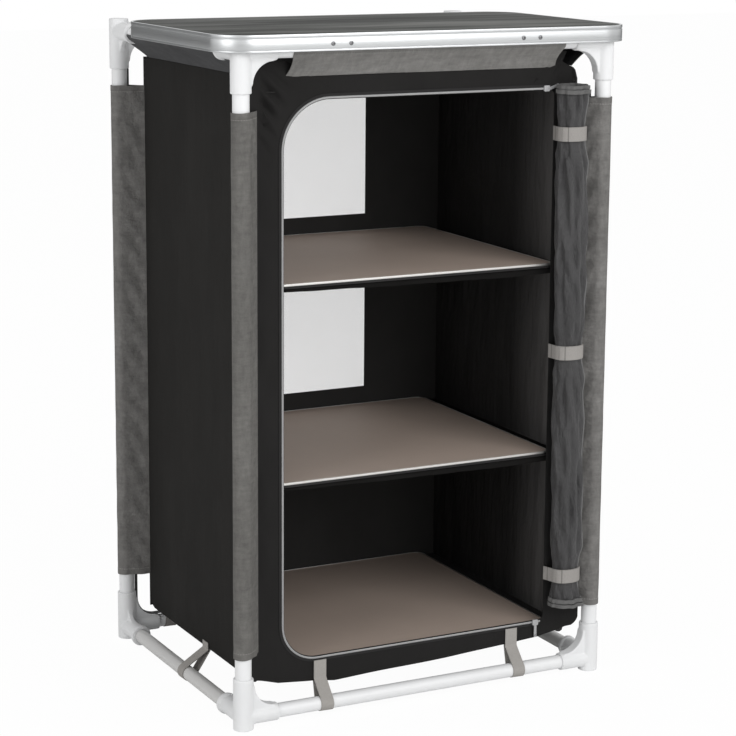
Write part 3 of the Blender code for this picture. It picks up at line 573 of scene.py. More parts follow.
# corner connectors, modelled once at the front left foot
def makeConnector():
    connectorShape = {"radius": 0.0155, "length": 0.080, "mouth": 0.0008, "railLevel": 0.020,
                      "armRadius": 0.014, "armX": 0.055, "armY": 0.065, "collarRadius": 0.0165,
                      "collarLength": 0.007, "fillet": 0.034, "web": 0.018, "ribFillet": 0.016,
                      "ribHollow": 0.0155, "rib": 0.008, "voxel": 0.0011, "uprightBore": 0.0128,
                      "railBore": 0.0113, "uprightStop": 0.034, "railStop": 0.018, "past": 0.004}
    c = connectorShape
    x, y, up, past = -uprightX, frontY, c["railLevel"], c["past"]
    piece = addCylinder((x, y, 0), (x, y, c["length"]), c["radius"])
    startEdit(piece)
    pickFaces(piece, lambda place, normal: normal.z > 0.9)
    bpy.ops.mesh.inset(thickness=c["mouth"])
    armX = addCylinder((x, y, up), (x + c["armX"], y, up), c["armRadius"])
    armY = addCylinder((x, y, up), (x, y + c["armY"], up), c["armRadius"])
    collar = addCylinder((x, y + c["armY"] - c["collarLength"], up), (x, y + c["armY"], up), c["collarRadius"])
    reach, rise = c["radius"] + c["fillet"], up + c["armRadius"] + c["fillet"]
    web = addCube((x, y - c["web"] / 2, up), (x + reach, y + c["web"] / 2, rise))
    combine(web, [addCylinder((x + reach, y - c["web"], rise), (x + reach, y + c["web"], rise),
                              c["fillet"], 64)])
    reach, rise = y + c["radius"] + c["ribFillet"], up + c["armRadius"] + c["ribFillet"]
    rib = addCube((x - c["rib"] / 2, y, up), (x + c["rib"] / 2, reach, rise))
    combine(rib, [addCylinder((x - c["rib"], reach, rise), (x + c["rib"], reach, rise), c["ribHollow"])])
    combine(piece, [armX, armY, collar, web, rib], "UNION")
    modify(piece, "REMESH", mode="VOXEL", voxel_size=c["voxel"])
    modify(piece, "SMOOTH", factor=0.5, iterations=5)
    combine(piece, [addCylinder((x, y, c["uprightStop"]), (x, y, c["length"] + past), c["uprightBore"]),
                    addCylinder((x + c["railStop"], y, up), (x + c["armX"] + past, y, up), c["railBore"]),
                    addCylinder((x, y + c["railStop"], up), (x, y + c["armY"] + past, up), c["railBore"])])
    return piece


connector = makeConnector()
for corner, (side, end) in cornerSigns.items():
    for level in ("foot", "top"):
        mirror = (-side, -end, 1 if level == "foot" else -1)
        piece = twin(connector, mirror, (0, middleY, frameTop / 2))
        name = level + "_connector_" + corner
        finish(piece, name.replace("connector", "corner"), plastic, "cabinet", [name])
bpy.data.objects.remove(connector, do_unlink=True)
print("connectors made")


# worktop
def roundEdges(piece, test, radius, segments):  # these three leave the piece in edit mode
    startEdit(piece)
    pickEdges(piece, test)
    bpy.ops.mesh.bevel(offset=radius, segments=segments, affect="EDGES")


def roundCorners(piece, radius, segments=16):
    roundEdges(piece, lambda a, b: abs(a.z - b.z) > 0.002 and (a.xy - b.xy).length < 0.0001, radius, segments)


def bridgeMiddle(piece, centre, inset=0.0):  # makes a ring of a plate
    pickFaces(piece, lambda place, normal: abs(normal.z) > 0.9 and (place.xy - centre.xy).length < 0.001)
    if inset:
        bpy.ops.mesh.inset(thickness=inset)
    bpy.ops.mesh.bridge_edge_loops()


def makeRim():
    rimShape = {"corner": 0.055, "lip": 0.004, "wall": 0.0022, "ledge": 0.0083, "ledgeThickness": 0.0015,
                "recess": 0.0043, "grooves": ((0.0048, 0.0064), (0.0218, 0.0226)), "grooveDepth": 0.0008,
                "edge": 0.0005, "notch": 0.013, "notchRound": 0.0117, "notchDepth": 0.0275, "past": 0.002}
    r = rimShape
    low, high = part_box("worktop_rim")
    centre = (low + high) / 2
    rim = addCube(low, high)
    roundCorners(rim, r["corner"])
    pickFaces(rim, lambda place, normal: normal.z > 0.9)
    bpy.ops.mesh.inset(thickness=r["lip"])
    push((0, 0, -r["recess"]))
    bpy.ops.mesh.inset(thickness=r["ledge"] - r["lip"])
    pickFaces(rim, lambda place, normal: normal.z < -0.9)
    bpy.ops.mesh.inset(thickness=r["wall"])
    push((0, 0, high.z - low.z - r["recess"] - r["ledgeThickness"]))
    bpy.ops.mesh.inset(thickness=r["ledge"] - r["wall"])
    bridgeMiddle(rim, centre)
    for upper, lower in r["grooves"]:
        cutLevel(high.z - upper)
        cutLevel(high.z - lower)
        pickFaces(rim, lambda place, normal: abs(normal.z) < 0.1 and normal.xy.dot(place.xy - centre.xy) > 0
                  and high.z - lower < place.z < high.z - upper)
        swell(-r["grooveDepth"])
    notches = []
    for x in (-uprightX, uprightX):
        notch = addCube((x - r["notch"], high.y - r["notchDepth"], low.z - r["past"]),
                        (x + r["notch"], high.y + r["past"], topRailZ + r["notch"]))
        roundEdges(notch, lambda a, b: min(a.z, b.z) > low.z and abs(a.y - b.y) > 0.01, r["notchRound"], 8)
        notches.append(notch)
    combine(rim, notches)
    softenEdges(rim, r["edge"])
    return rim


finish(makeRim(), "worktop_frame", rimMetal, "worktop", ["worktop_rim"])


def makeTop():
    topShape = {"corner": 0.0507, "edge": 0.0005}
    low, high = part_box("worktop_board")
    top = addCube(low, high)
    roundCorners(top, topShape["corner"])
    softenEdges(top, topShape["edge"], 2, 60)
    return top


finish(makeTop(), "worktop_surface", slate, "worktop", ["worktop_board"])


def makeClip(node):
    clipShape = {"gap": 0.0113, "inset": 0.0025, "mouth": 0.02, "past": 0.01, "edge": 0.0008}
    c = clipShape
    low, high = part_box(node)
    left, right = low.x - c["past"], high.x + c["past"]
    saddle = addCube((low.x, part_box("worktop_rim")[0].y + c["inset"], low.z), high)
    throat = addCylinder((left, frontY, topRailZ), (right, frontY, topRailZ), c["gap"])
    mouth = addCube((left, frontY - c["gap"], topRailZ - c["mouth"]), (right, frontY + c["gap"], topRailZ))
    combine(saddle, [throat, mouth])
    softenEdges(saddle, c["edge"])
    return saddle


def makeRivet():  # a shank that widens to a domed head with a dimple
    rivetShape = {"radius": 0.0034, "shank": 0.0019, "proud": 0.0002, "reach": 0.004, "head": 0.0012,
                  "dome": ((0.96, 0.45), (0.80, 0.35), (0.62, 0.20)), "rim": 0.0003, "dimple": 0.0013,
                  "below": 0.0145}
    r = rivetShape
    low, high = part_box("worktop_rim")
    face, z = low.y, high.z - r["below"]
    rivet = addCylinder((0, face - r["proud"], z), (0, face + r["reach"], z), r["shank"], 24)
    startEdit(rivet)
    pickFaces(rivet, lambda place, normal: normal.y < -0.9)
    push((0, 0, 0))
    widen = r["radius"] / r["shank"]
    bpy.ops.transform.resize(value=(widen, 1, widen), center_override=(0, face, z))
    for shrink, depth in r["dome"]:
        push((0, -r["head"] * depth, 0))
        bpy.ops.transform.resize(value=(shrink, 1, shrink), center_override=(0, face, z))
    bpy.ops.mesh.inset(thickness=r["rim"])
    push((0, r["dimple"], 0))
    clearSelection()
    return rivet


rivet = makeRivet()
rivetSpread = 0.0145
for side in ("left", "right"):
    node = "worktop_clip_" + side
    finish(makeClip(node), "rail_clip_" + side, clipPlastic, "worktop", [node])
    for index, offset in enumerate((-rivetSpread, rivetSpread)):
        pin = twin(rivet, shift=(middle(node).x + offset, 0, 0))
        finish(pin, f"rivet_{side}_{index + 1}", rivetMetal, "worktop")
bpy.data.objects.remove(rivet, do_unlink=True)
print("worktop made")


# shelf boards, each with its edging and a dark band under that, painted shade below the edging's lip
def makeBoard(node, name, body):
    boardShape = {"corner": 0.018, "edging": 0.0012, "lip": 0.0034, "tall": 0.0026, "proud": 0.0003,
                  "edge": 0.0003, "bead": 0.0007, "gap": 0.0001}
    b = boardShape
    low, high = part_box(node)
    inset = Vector((b["edging"], b["edging"], 0))
    board = addCube(low + inset, high - inset - Vector((0, 0, 2 * b["gap"])))
    roundCorners(board, b["corner"] - b["edging"], 8)
    edging = addCube((low.x, low.y, high.z - b["tall"]), high + Vector((0, 0, b["proud"])))
    roundCorners(edging, b["corner"], 8)
    pickFaces(edging, lambda place, normal: normal.z > 0.9)
    bpy.ops.mesh.inset(thickness=b["lip"] - 2 * b["bead"])
    push((0, 0, b["proud"]))
    bpy.ops.mesh.inset(thickness=b["bead"])
    push((0, 0, -b["proud"]))
    bridgeMiddle(edging, middle(node), b["bead"])
    softenEdges(edging, b["edge"], 2, 50)
    # a dark ring under the edging: painted shade below its lip
    band = addCube(low, (high.x, high.y, high.z - b["tall"] - b["gap"]))
    roundCorners(band, b["corner"], 8)
    bridgeMiddle(band, middle(node), b["edging"] - b["gap"])
    finish(band, name + "_band", zipTape, body)
    finish(board, name, boardFace, body, [node])
    finish(edging, name + "_edging", edgeMetal, body)


for level, node in (("upper", "shelf_board_upper"), ("lower", "shelf_board_lower"), ("base", "floor_board")):
    makeBoard(node, level + "_shelf", level + "_board")
print("boards made")


# cloth cabinet
def alongCurve(value, points):
    for (start, first), (end, last) in zip(points, points[1:]):
        if value <= end:
            return mix(first, last, max(0.0, (value - start) / (end - start)))
    return points[-1][1]


def followSpans(travel, spans):  # a span is a length with two ends, or with an arc's centre, radius and angle
    for span in spans:
        if travel <= span[0] or span is spans[-1]:
            part = min(travel / span[0], 1.0)
            if len(span) == 3:
                return Vector(span[1]).lerp(Vector(span[2]), part)
            turn = math.radians(span[3] + 90 * part)
            return Vector(span[1]) + Vector((math.cos(turn), math.sin(turn))) * span[2]
        travel -= span[0]


def loopPoint(share, low, high, lowRadius, highRadius, rightRadius):  # a rounded rectangle in eight spans
    (left, bottom), (right, top) = low, high
    corner, side, short = 0.05, 0.27, 0.13  # each span's share of the way round
    inside, above = right - rightRadius, bottom + rightRadius
    return followSpans(share, [(short, (left + lowRadius, bottom), (inside, bottom)),
                               (corner, (inside, above), rightRadius, 270),
                               (side, (right, above), (right, top - rightRadius)),
                               (corner, (inside, top - rightRadius), rightRadius, 0),
                               (short, (inside, top), (left + highRadius, top)),
                               (corner, (left + highRadius, top - highRadius), highRadius, 90),
                               (side, (left, top - highRadius), (left, bottom + lowRadius)),
                               (corner, (left + lowRadius, bottom + lowRadius), lowRadius, 180)])


def bell(x, z, spot):  # 1 at a spot, which is its x, its z and how wide and tall it is, and 0 away from it
    centreX, centreZ, wide, tall = spot
    return math.exp(-(((x - centreX) / wide) ** 2 + ((z - centreZ) / tall) ** 2))


opening = {"x": 0.230, "bottom": 0.090, "top": 0.941, "lowCorner": 0.055, "highCorner": 0.075,
           "rollCorner": 0.008}
# the height of the front cloth's bottom edge at each x
hangCurve = [(-0.2905, 0.078), (-0.280, 0.067), (-0.240, 0.056), (-0.180, 0.0506), (-0.144, 0.0455),
             (-0.064, 0.048), (0.05, 0.052), (0.160, 0.0575), (0.217, 0.061), (0.2545, 0.067), (0.281, 0.0736),
             (0.2905, 0.080)]
# how far its right edge reaches at each height, with the bunched flap beside the roll's top
flapCurve = [(0.940, 0.2905), (0.9465, 0.268), (0.952, 0.2625), (0.975, 0.2605), (0.9805, 0.2540),
             (0.9845, 0.2420), (0.988, 0.2370), (0.992, 0.2400), (1.000, 0.2510)]


def flangeY(x):  # the front cloth runs past the box towards the uprights
    return boxFront + 0.0008 - 0.53 * max(0.0, abs(x) - boxX)


def makeFront():
    frontShape = {"columns": 640, "rows": 20, "thickness": 0.0014, "reach": 0.2905, "leftReach": 0.2805,
                  "low": 0.05, "corner": 0.010, "topCorner": 0.006, "ears": 0.222, "earTop": 1.0,
                  "wrinkle": 0.00288, "folds": (-0.250, 0.930, 0.034, 0.042), "foldPitch": 0.031,
                  "foldDepth": 0.0062, "bunch": (0.243, 0.966, 0.022, 0.018), "bunchPitch": 0.015,
                  "bunchDepth": 0.0042, "seamPucker": 0.0012, "ripple": 0.0010, "ripplePitch": 0.11}
    f = frontShape

    def outer(share):
        point = loopPoint(share, (-f["reach"], f["low"]), (f["reach"], boxTop), f["corner"], f["topCorner"],
                          f["corner"])
        if point.y < 0.3:
            hang = alongCurve(point.x, hangCurve) + max(0.0, point.y - f["low"])
            point.y = mix(hang, point.y, ease(point.y, 0.07, 0.3))
        if point.y > 0.9:
            edge = abs(point.x) - f["ears"]
            point.y += (f["earTop"] - boxTop) * ease(edge, -0.004, 0.004) * ease(point.y, 0.94, boxTop)
            leftLimit = mix(f["reach"], f["leftReach"], ease(point.y, 0.945, 0.965))
            limit = alongCurve(point.y, flapCurve) if point.x > 0 else leftLimit
            point.x = math.copysign(min(abs(point.x), limit), point.x)
        return point

    def place(across, along):
        inner = loopPoint(across, (-opening["x"], opening["bottom"]), (opening["x"], opening["top"]),
                          opening["lowCorner"], opening["highCorner"], opening["rollCorner"])
        x, z = inner.lerp(outer(across), along)
        loose = ease(along, 0.12, 0.5) * (1 - ease(abs(x), 0.262, 0.275))
        behindRoll = ease(x, 0.205, 0.222) * (1 - ease(z, 0.955, 0.97))
        underLoop = ease(0.10 - z, 0.0, 0.02) * ease(0.02 - abs(abs(x) - 0.17), 0, 0.008)
        lift = f["wrinkle"] * wave(x * 9, z * 4, seed=3.1)
        slant = x + z + 0.004 * wave(x * 30, z * 30)
        lift += f["foldDepth"] * bell(x, z, f["folds"]) * math.sin(2 * math.pi * slant / f["foldPitch"])
        slant = x - 0.6 * z + 0.006 * wave(x * 60, z * 60)
        lift += f["bunchDepth"] * bell(x, z, f["bunch"]) * (
            0.7 + math.sin(2 * math.pi * slant / f["bunchPitch"]))
        lift += f["seamPucker"] * math.exp(-((z - 0.958) / 0.012) ** 2) * wave(x * 24, z * 8, seed=9)
        if x < 0:
            lift += f["ripple"] * math.sin(2 * math.pi * z / f["ripplePitch"]) * ease(-x, 0.236, 0.25)
        return x, flangeY(x) - lift * loose * (1 - behindRoll) * (1 - underLoop), z

    panel = clothGrid(f["columns"], f["rows"], place, (1, 1), closed=True)
    mapFlat(panel)
    thicken(panel, f["thickness"])
    return panel


front = finishCloth(makeFront(), "cloth_front", frontCloth, ["front_panel"])


def makeWall(node, bulge, wrinkle, seed, cut=0.0, columns=70, rows=120, fold=None):  # cut rounds the corners
    wallShape = {"thickness": 0.0012, "topCut": 0.8, "sideMargin": 0.12, "endMargin": 0.05,
                 "waves": ((1.5, 7, 3.2), (0.5, 21, 9))}  # a share of the wrinkle and its two frequencies
    low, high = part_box(node)
    thin = min(range(3), key=lambda index: (high - low)[index])
    a, b = [index for index in range(3) if index != thin]

    def place(across, along):
        point = (low + high) / 2
        point[a] = mix(low[a], high[a], across)
        edge = min(across, 1 - across) * (high[a] - low[a])
        lift = cut * (1 - math.sqrt(max(0.0, 1 - (1 - min(edge / cut, 1.0)) ** 2))) if cut else 0.0
        point[b] = mix(low[b] + lift, high[b] - lift * wallShape["topCut"], along)
        pinned = ease(min(across, 1 - across), 0.0, wallShape["sideMargin"])
        pinned *= ease(min(along, 1 - along), 0.0, wallShape["endMargin"])
        shift = bulge * math.sin(math.pi * across) * (0.6 + 0.4 * math.sin(3 * math.pi * along))
        for share, often, slowly in wallShape["waves"]:
            shift += wrinkle * share * wave(point[a] * often, point[b] * slowly, seed=seed)
        if fold:
            shift += fold(point)
        point[thin] += shift * pinned
        return point

    wall = clothGrid(columns, rows, place, (high[a] - low[a], high[b] - low[b]))
    thicken(wall, wallShape["thickness"])
    return wall


def innerFolds(point):  # slack cloth beside the door's roll, inside
    foldShape = {"y": -0.165, "spread": 0.045, "depth": 0.0055, "slant": 14, "count": 190}
    near = math.exp(-((point.y - foldShape["y"]) / foldShape["spread"]) ** 2)
    turn = point.y * foldShape["count"] + foldShape["slant"] * point.z + 2 * wave(point.y * 8, point.z * 6)
    return foldShape["depth"] * near * math.sin(turn) * (0.6 + wave(0, point.z * 5))


for side, sign in (("left", -1), ("right", 1)):
    node = "side_panel_" + side
    wall = makeWall(node, bulge=sign * 0.0012, wrinkle=0.0016, seed=2.0 + sign, cut=0.022,
                    fold=innerFolds if sign > 0 else None)
    finishCloth(wall, "cloth_side_" + side, blackCloth, [node])
    if side == "right":  # its inner face, which the light from the door rakes over, gets the lining with painted light
        wall.data.materials.append(innerCloth)
        startEdit(wall)
        pickFaces(wall, lambda place, normal: normal.x < -0.3)
        wall.active_material_index = 1
        bpy.ops.object.material_slot_assign()
        clearSelection()


def makeRear():
    rearShape = {"columns": 72, "rows": 132, "thickness": 0.0012, "wrinkle": 0.0012, "border": 0.02}
    border = rearShape["border"]
    low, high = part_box("rear_panel")
    holes = [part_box("mesh_window_" + name) for name in ("middle", "upper")]
    # the grid's lines fall on the windows' edges
    xs = [(0.0, low.x), (0.25, holes[0][0].x), (0.75, holes[0][1].x), (1.0, high.x)]
    zs = [(0.0, low.z), (0.33, holes[0][0].z), (0.56, holes[0][1].z), (0.68, holes[1][0].z),
          (0.92, holes[1][1].z), (1.0, high.z)]

    def place(across, along):
        x = alongCurve(round(across * rearShape["columns"]) / rearShape["columns"], xs)
        z = alongCurve(along, zs)
        pinned = ease(min(across, 1 - across), 0, 0.06) * ease(min(along, 1 - along), 0, 0.04)
        for a, b in holes:
            if a.x - border < x < b.x + border and a.z - border < z < b.z + border:
                pinned *= 0.15
        return x, (low.y + high.y) / 2 + rearShape["wrinkle"] * pinned * wave(x * 9, z * 6, seed=8), z

    wall = clothGrid(rearShape["columns"], rearShape["rows"], place, (high.x - low.x, high.z - low.z))
    startEdit(wall)
    pickFaces(wall, lambda point, normal: any(a.x < point.x < b.x and a.z < point.z < b.z for a, b in holes))
    bpy.ops.mesh.delete(type="FACE")
    clearSelection()
    mapFlat(wall)
    thicken(wall, rearShape["thickness"])
    return wall


def makeWindow(node):
    windowShape = {"border": 0.005, "behind": 0.0011, "sag": 0.001, "thickness": 0.0005}
    border = Vector((windowShape["border"], 0, windowShape["border"]))
    low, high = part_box(node)[0] - border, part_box(node)[1] + border
    level = (low.y + high.y) / 2 + windowShape["behind"]

    def place(across, along):
        sag = windowShape["sag"] * math.sin(math.pi * across) * math.sin(math.pi * along)
        sag *= 0.6 + 0.8 * wave(across * 3, along * 3, seed=5)
        return mix(low.x, high.x, across), level + sag, mix(low.z, high.z, along)

    pane = clothGrid(30, 26, place, (high.x - low.x, high.z - low.z))
    thicken(pane, windowShape["thickness"])
    return pane


rear = finishCloth(makeRear(), "cloth_rear", liningCloth, ["rear_panel"])
for name in ("upper", "middle"):
    node = "mesh_window_" + name
    pane = finishCloth(makeWindow(node), "window_" + name, meshCloth, [node])

for name, bulge, wrinkle in (("roof", -0.004, 0.0014), ("floor", -0.003, 0.0)):
    node = name + "_panel"
    sheet = makeWall(node, bulge, wrinkle, seed=6.0, columns=80, rows=70)
    finishCloth(sheet, "cloth_" + name, liningCloth, [node])


def makeSling(node):  # flat under its board, with a band that hangs at the front
    slingShape = {"columns": 150, "rows": 80, "thickness": 0.0011, "inset": 0.0008, "ripple": 0.0030,
                  "swing": 0.0004, "leftRise": 0.0058}
    s = slingShape
    low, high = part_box(node)
    level, bottom, front = high.z - s["inset"], low.z, low.y + s["inset"]
    run, drop = high.y - front, level - bottom

    def place(across, along):
        x, travel = mix(low.x, high.x, across), along * (run + drop)
        if travel >= drop:
            return x, front + travel - drop, level
        hang = 1 - travel / drop
        ripple = s["ripple"] * hang * (wave(x * 11, 0, seed=4) + 0.4 * wave(x * 33, 1))
        rise = s["leftRise"] * hang * (1 - across) ** 2
        return x, front + s["swing"] * hang + abs(ripple) * 0.6, bottom + travel + rise + 0.5 * ripple

    sling = clothGrid(s["columns"], s["rows"], place, (high.x - low.x, run + drop))
    thicken(sling, s["thickness"])
    return sling, (high.x - low.x, run + drop)


for name in ("upper", "lower"):
    node = "shelf_sling_" + name
    sling, size = makeSling(node)
    finishCloth(sling, "cloth_sling_" + name, shadedSlingCloth, [node])
print("cabinet cloth made")


# sleeves round the uprights: an arc, and two straight sides that meet at the cabinet's corner
def makeSleeve(corner):
    sleeveShape = {"radius": 0.0139, "tip": 0.0015, "reach": 0.0345, "rearReach": 0.0405, "columns": 44,
                   "rows": 210, "thickness": 0.0011, "hem": 0.010, "hemEdge": 0.0015, "hemLift": 0.0003,
                   "wrinkle": 0.0022, "wrinklePitch": 0.052, "dent": 0.0007, "endWave": 0.0010}
    s = sleeveShape
    side, end = cornerSigns[corner]
    low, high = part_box("sleeve_" + corner)
    post = cornerPlace(corner)
    heading = (Vector((side * boxX, boxFront if end < 0 else boxRear)) - post).normalized()
    sideways = Vector((-heading.y, heading.x))
    reach = s["reach"] if end < 0 else s["rearReach"]
    mouth = math.acos((s["radius"] - s["tip"]) / reach)
    straight = math.sqrt(reach ** 2 - (s["radius"] - s["tip"]) ** 2)
    arcLength = s["radius"] * (2 * math.pi - 2 * mouth)
    total = 2 * straight + arcLength

    def place(across, along):
        z = mix(low.z, high.z, along)
        fromEnd = min(z - low.z, high.z - z)
        travel = across * total
        if straight <= travel <= straight + arcLength:
            turn = mouth + (travel - straight) / s["radius"]
            hem = 1 - ease(fromEnd, s["hem"] - s["hemEdge"], s["hem"])
            dent = s["dent"] * abs(wave(turn * 1.2, z * 16, seed=side + 3 * end))
            local = Vector((math.cos(turn), math.sin(turn))) * (s["radius"] + dent + s["hemLift"] * hem)
        else:
            first = 1 if travel < straight else -1
            part = (travel if first > 0 else total - travel) / straight
            touch = Vector((math.cos(mouth), first * math.sin(mouth))) * s["radius"]
            local = Vector((reach, first * s["tip"])).lerp(touch, part)
            turn = 2 * math.pi * (z / s["wrinklePitch"] + local.x / 0.05)
            turn += 5 * wave(0, z * 7, seed=side * 2 + end)
            local.y += (1 - abs(2 * part - 1)) * s["wrinkle"] * math.sin(turn)
        point = post + heading * local.x + sideways * local.y
        sway = s["endWave"] * wave(across * 5, 0, seed=side) * (1 - ease(fromEnd, 0, 0.02))
        return point.x, point.y, z + sway

    sleeve = clothGrid(s["columns"], s["rows"], place, (total, high.z - low.z))
    if side * end > 0:
        sleeve.data.flip_normals()
    thicken(sleeve, s["thickness"])
    return sleeve, (round(total, 4), round(high.z - low.z, 4))


for corner in cornerSigns:
    sleeve, size = makeSleeve(corner)
    material = sleeveCloth if corner == "front_left" else paleSleeveCloth
    finishCloth(sleeve, "cloth_sleeve_" + corner, material, ["sleeve_" + corner])


# valances between the top rails and the cabinet
def makeValance(name):  # it lies on the rail's outer side first, then runs to its foot
    valanceShape = {"columns": 190, "rows": 28, "thickness": 0.0010, "hollow": 0.004, "pleat": 0.0013,
                    "pleatPitch": 0.024, "slack": 0.0022, "crease": 0.0008, "sink": 0.0014,
                    "railRadius": 0.011, "gap": 0.0003, "startAngle": 6, "frontEnds": (-0.2275, 0.2300)}
    v = valanceShape
    low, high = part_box("valance_" + name)
    lengthwise = 0 if name in ("front", "rear") else 1
    cross, rail = 1 - lengthwise, railPlace[name]
    foot = (high if abs(low[cross] - rail) < abs(high[cross] - rail) else low)[cross]
    outward = 1 if rail > 0 else -1
    radius = v["railRadius"] + v["gap"] + v["thickness"] / 2
    inward, fall = outward * (rail - foot), topRailZ - low.z
    start = math.radians(v["startAngle"])
    leave = math.atan2(fall, -inward) - math.acos(radius / math.hypot(inward, fall))
    arc, straight = radius * (leave - start), math.sqrt(inward ** 2 + fall ** 2 - radius ** 2)
    first, last = v["frontEnds"] if name == "front" else (low[lengthwise], high[lengthwise])

    def place(across, along):
        travel = along * (arc + straight)
        part = max(0.0, travel - arc) / straight
        turn = min(leave, start + travel / radius)
        out = mix(radius * math.cos(turn), -inward, part)
        point = Vector((0, 0, mix(topRailZ - radius * math.sin(turn), low.z, part)))
        crown = max(0.0, math.sin(math.pi * part))
        point[lengthwise] = mix(first + v["hollow"] * crown, last - v["hollow"] * crown, across)
        edge = min(across, 1 - across)
        pleats = v["pleat"] * math.exp(-((edge - 0.04) / 0.04) ** 2)
        pleats *= math.sin(2 * math.pi * (edge / v["pleatPitch"] + 0.35 * part))
        pleats += v["slack"] * wave(across * 11, part * 1.2 + across * 3, seed=len(name))
        pleats += v["crease"] * wave(across * 40, part * 2, seed=3) - v["sink"]
        point[cross] = rail + outward * (out + pleats * crown ** 1.3)
        return point

    length = high[lengthwise] - low[lengthwise]
    valance = clothGrid(v["columns"], v["rows"], place, (length, arc + straight))
    thicken(valance, v["thickness"])
    return valance, (round(length, 4), round(arc + straight, 4))


for name in ("front", "rear", "left", "right"):
    valance, size = makeValance(name)
    # the side valances get the cloth with painted shade
    material = valanceCloth if name in ("front", "rear") else shadedValanceCloth
    finishCloth(valance, "cloth_valance_" + name, material, ["valance_" + name])
    "top_tube_" + name
print("sleeves and valances made")


# bands of tape and webbing that follow a path
def makeBand(path, width, sideways, thickness, columns=8, rows=None, twist=None):
    lengths = [0.0]
    for first, second in zip(path, path[1:]):
        lengths.append(lengths[-1] + (second - first).length)
    total = lengths[-1]
    sideways = Vector(sideways)

    def place(across, along):
        travel = along * total
        index = 0
        while index < len(path) - 2 and lengths[index + 1] < travel:
            index += 1
        part = (travel - lengths[index]) / max(lengths[index + 1] - lengths[index], 1e-9)
        point = path[index].lerp(path[index + 1], min(max(part, 0.0), 1.0))
        offset = (across - 0.5) * width
        if twist:
            point = point + twist(offset, along)
        return point + sideways * offset

    band = clothGrid(columns, rows or max(8, int(total / 0.002)), place, (width, total))
    thicken(band, thickness)
    return band


def arcPoints(radius, start, end, steps):
    turns = [math.radians(mix(start, end, step / steps)) for step in range(steps + 1)]
    return [Vector((math.cos(turn), math.sin(turn))) * radius for turn in turns]


def loopPath(wall, sewn, l):  # down the cabinet's wall, round the rail's axis at 0, 0 and up behind the wall
    face, back = wall - l["faceGap"], wall + l["backGap"]
    high, low = boxBottom + sewn - bottomRailZ, boxBottom - l["below"] - bottomRailZ
    start, last = Vector((face, low)), Vector((back, low))
    outerTurn = math.degrees(math.atan2(start.y, start.x) + math.acos(l["railGap"] / start.length))
    innerTurn = math.degrees(math.atan2(last.y, last.x) - math.acos(l["railGap"] / last.length)) + 360
    return [Vector((face, high)), Vector((face, mix(high, low, 0.5))), start,
            *arcPoints(l["railGap"], outerTurn, innerTurn, 26), last, Vector((back, low + l["tail"]))]


def makeLoop(name):
    loopShape = {"width": 0.021, "thickness": 0.0011, "railGap": 0.0118, "sewnFront": 0.027, "sewn": 0.010,
                 "faceGap": 0.0019, "backGap": 0.0022, "below": 0.002, "tail": 0.008, "twist": 0.0006}
    l = loopShape
    place = name.split("_")[0]
    across = 1 if place in ("front", "rear") else 0
    rail = railPlace[place]
    outward = 1 if rail > 0 else -1
    sewn = l["sewnFront"] if place == "front" else l["sewn"]
    path = []
    for away, up in loopPath(abs(rail - wallPlace[place]), sewn, l):
        point = middle("webbing_loop_" + name)
        point[across], point.z = rail - outward * away, bottomRailZ + up
        path.append(point)

    def twist(offset, along):
        return Vector((0, 0, l["twist"] * math.sin(9 * along) * offset / l["width"]))

    return makeBand(path, l["width"], (across, 1 - across, 0), l["thickness"], twist=twist)


for name in ("front_left", "front_right", "rear_left", "rear_right", "left", "right"):
    finishCloth(makeLoop(name), "webbing_" + name, webbing, ["webbing_loop_" + name])


def makeShadeTape(corner):  # dark tapes between the sleeve's ends and the frame's corners: painted shade on the inner side of the upright and its gusset
    tapeShape = {"width": 0.011, "thickness": 0.0011, "gap": 0.0009, "corner": 0.0155, "fillet": 0.034,
                 "arm": 0.014, "run": 0.016, "tuck": 0.002, "step": 0.006}
    t = tapeShape
    side = cornerSigns[corner][0]
    x, y = cornerPlace(corner)
    sleeveLow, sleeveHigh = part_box("sleeve_" + corner)
    rise, inner = bottomRailZ + t["arm"] + t["fillet"], t["fillet"] - t["gap"]

    def inside(away, z):  # a point so far from the upright's axis, on the cabinet's side
        return Vector((x - side * away, y, z))

    low = [inside(t["corner"] + t["gap"], sleeveLow.z + t["tuck"] - t["step"] * step) for step in range(7)]
    low = [point for point in low if point.z > rise + t["tuck"]]
    for curve in arcPoints(inner, 0, 90, 14):
        low.append(inside(t["corner"] + t["fillet"] - curve.x, rise - curve.y))
    low.append(low[-1] + Vector((-side * t["run"], 0, 0)))
    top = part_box("top_connector_" + corner)[0].z
    high = [inside(uprightRadius + t["gap"], mix(sleeveHigh.z - t["tuck"], top, step / 6)) for step in range(7)]
    bands = [makeBand(path, t["width"], (0, 1, 0), t["thickness"], 6) for path in (low, high)]
    finishCloth(join(bands), "corner_tape_" + corner, shadeTape)


for corner in ("rear_left", "rear_right"):
    makeShadeTape(corner)
print("webbing made")


# the rolled-up door
rollShape = {"x": (0.2598, 0.2494), "halfX": 0.0266, "halfY": 0.0200, "behind": 0.0006, "turns": 2.8,
             "layer": 0.075, "startTurn": 318, "waist": 0.14, "hem": 0.0125, "straps": (0.168, 0.532, 0.875),
             "columns": 260, "width": 0.44, "fold": 0.0034, "ripple": 0.0016, "gather": 0.0016,
             "sink": 0.0012, "sway": 26,
             # the angle, half width and height of each lengthwise fold
             "ridges": ((196, 8, 0.0026), (214, 9, -0.0032), (243, 11, 0.0022), (262, 9, -0.0034),
                        (281, 8, 0.0028), (297, 8, -0.0036), (312, 6, 0.0026))}


def rollX(z):  # the roll hangs a little out of plumb
    return mix(*rollShape["x"], z / 0.95)


def waistShare(z):
    nearest = min(abs(z - height) for height in rollShape["straps"])
    return 1 - ease(nearest, 0.010, 0.050)


def rollCentre(scale):  # how far back the roll's axis is
    return boxFront - rollShape["behind"] - rollShape["halfY"] * scale


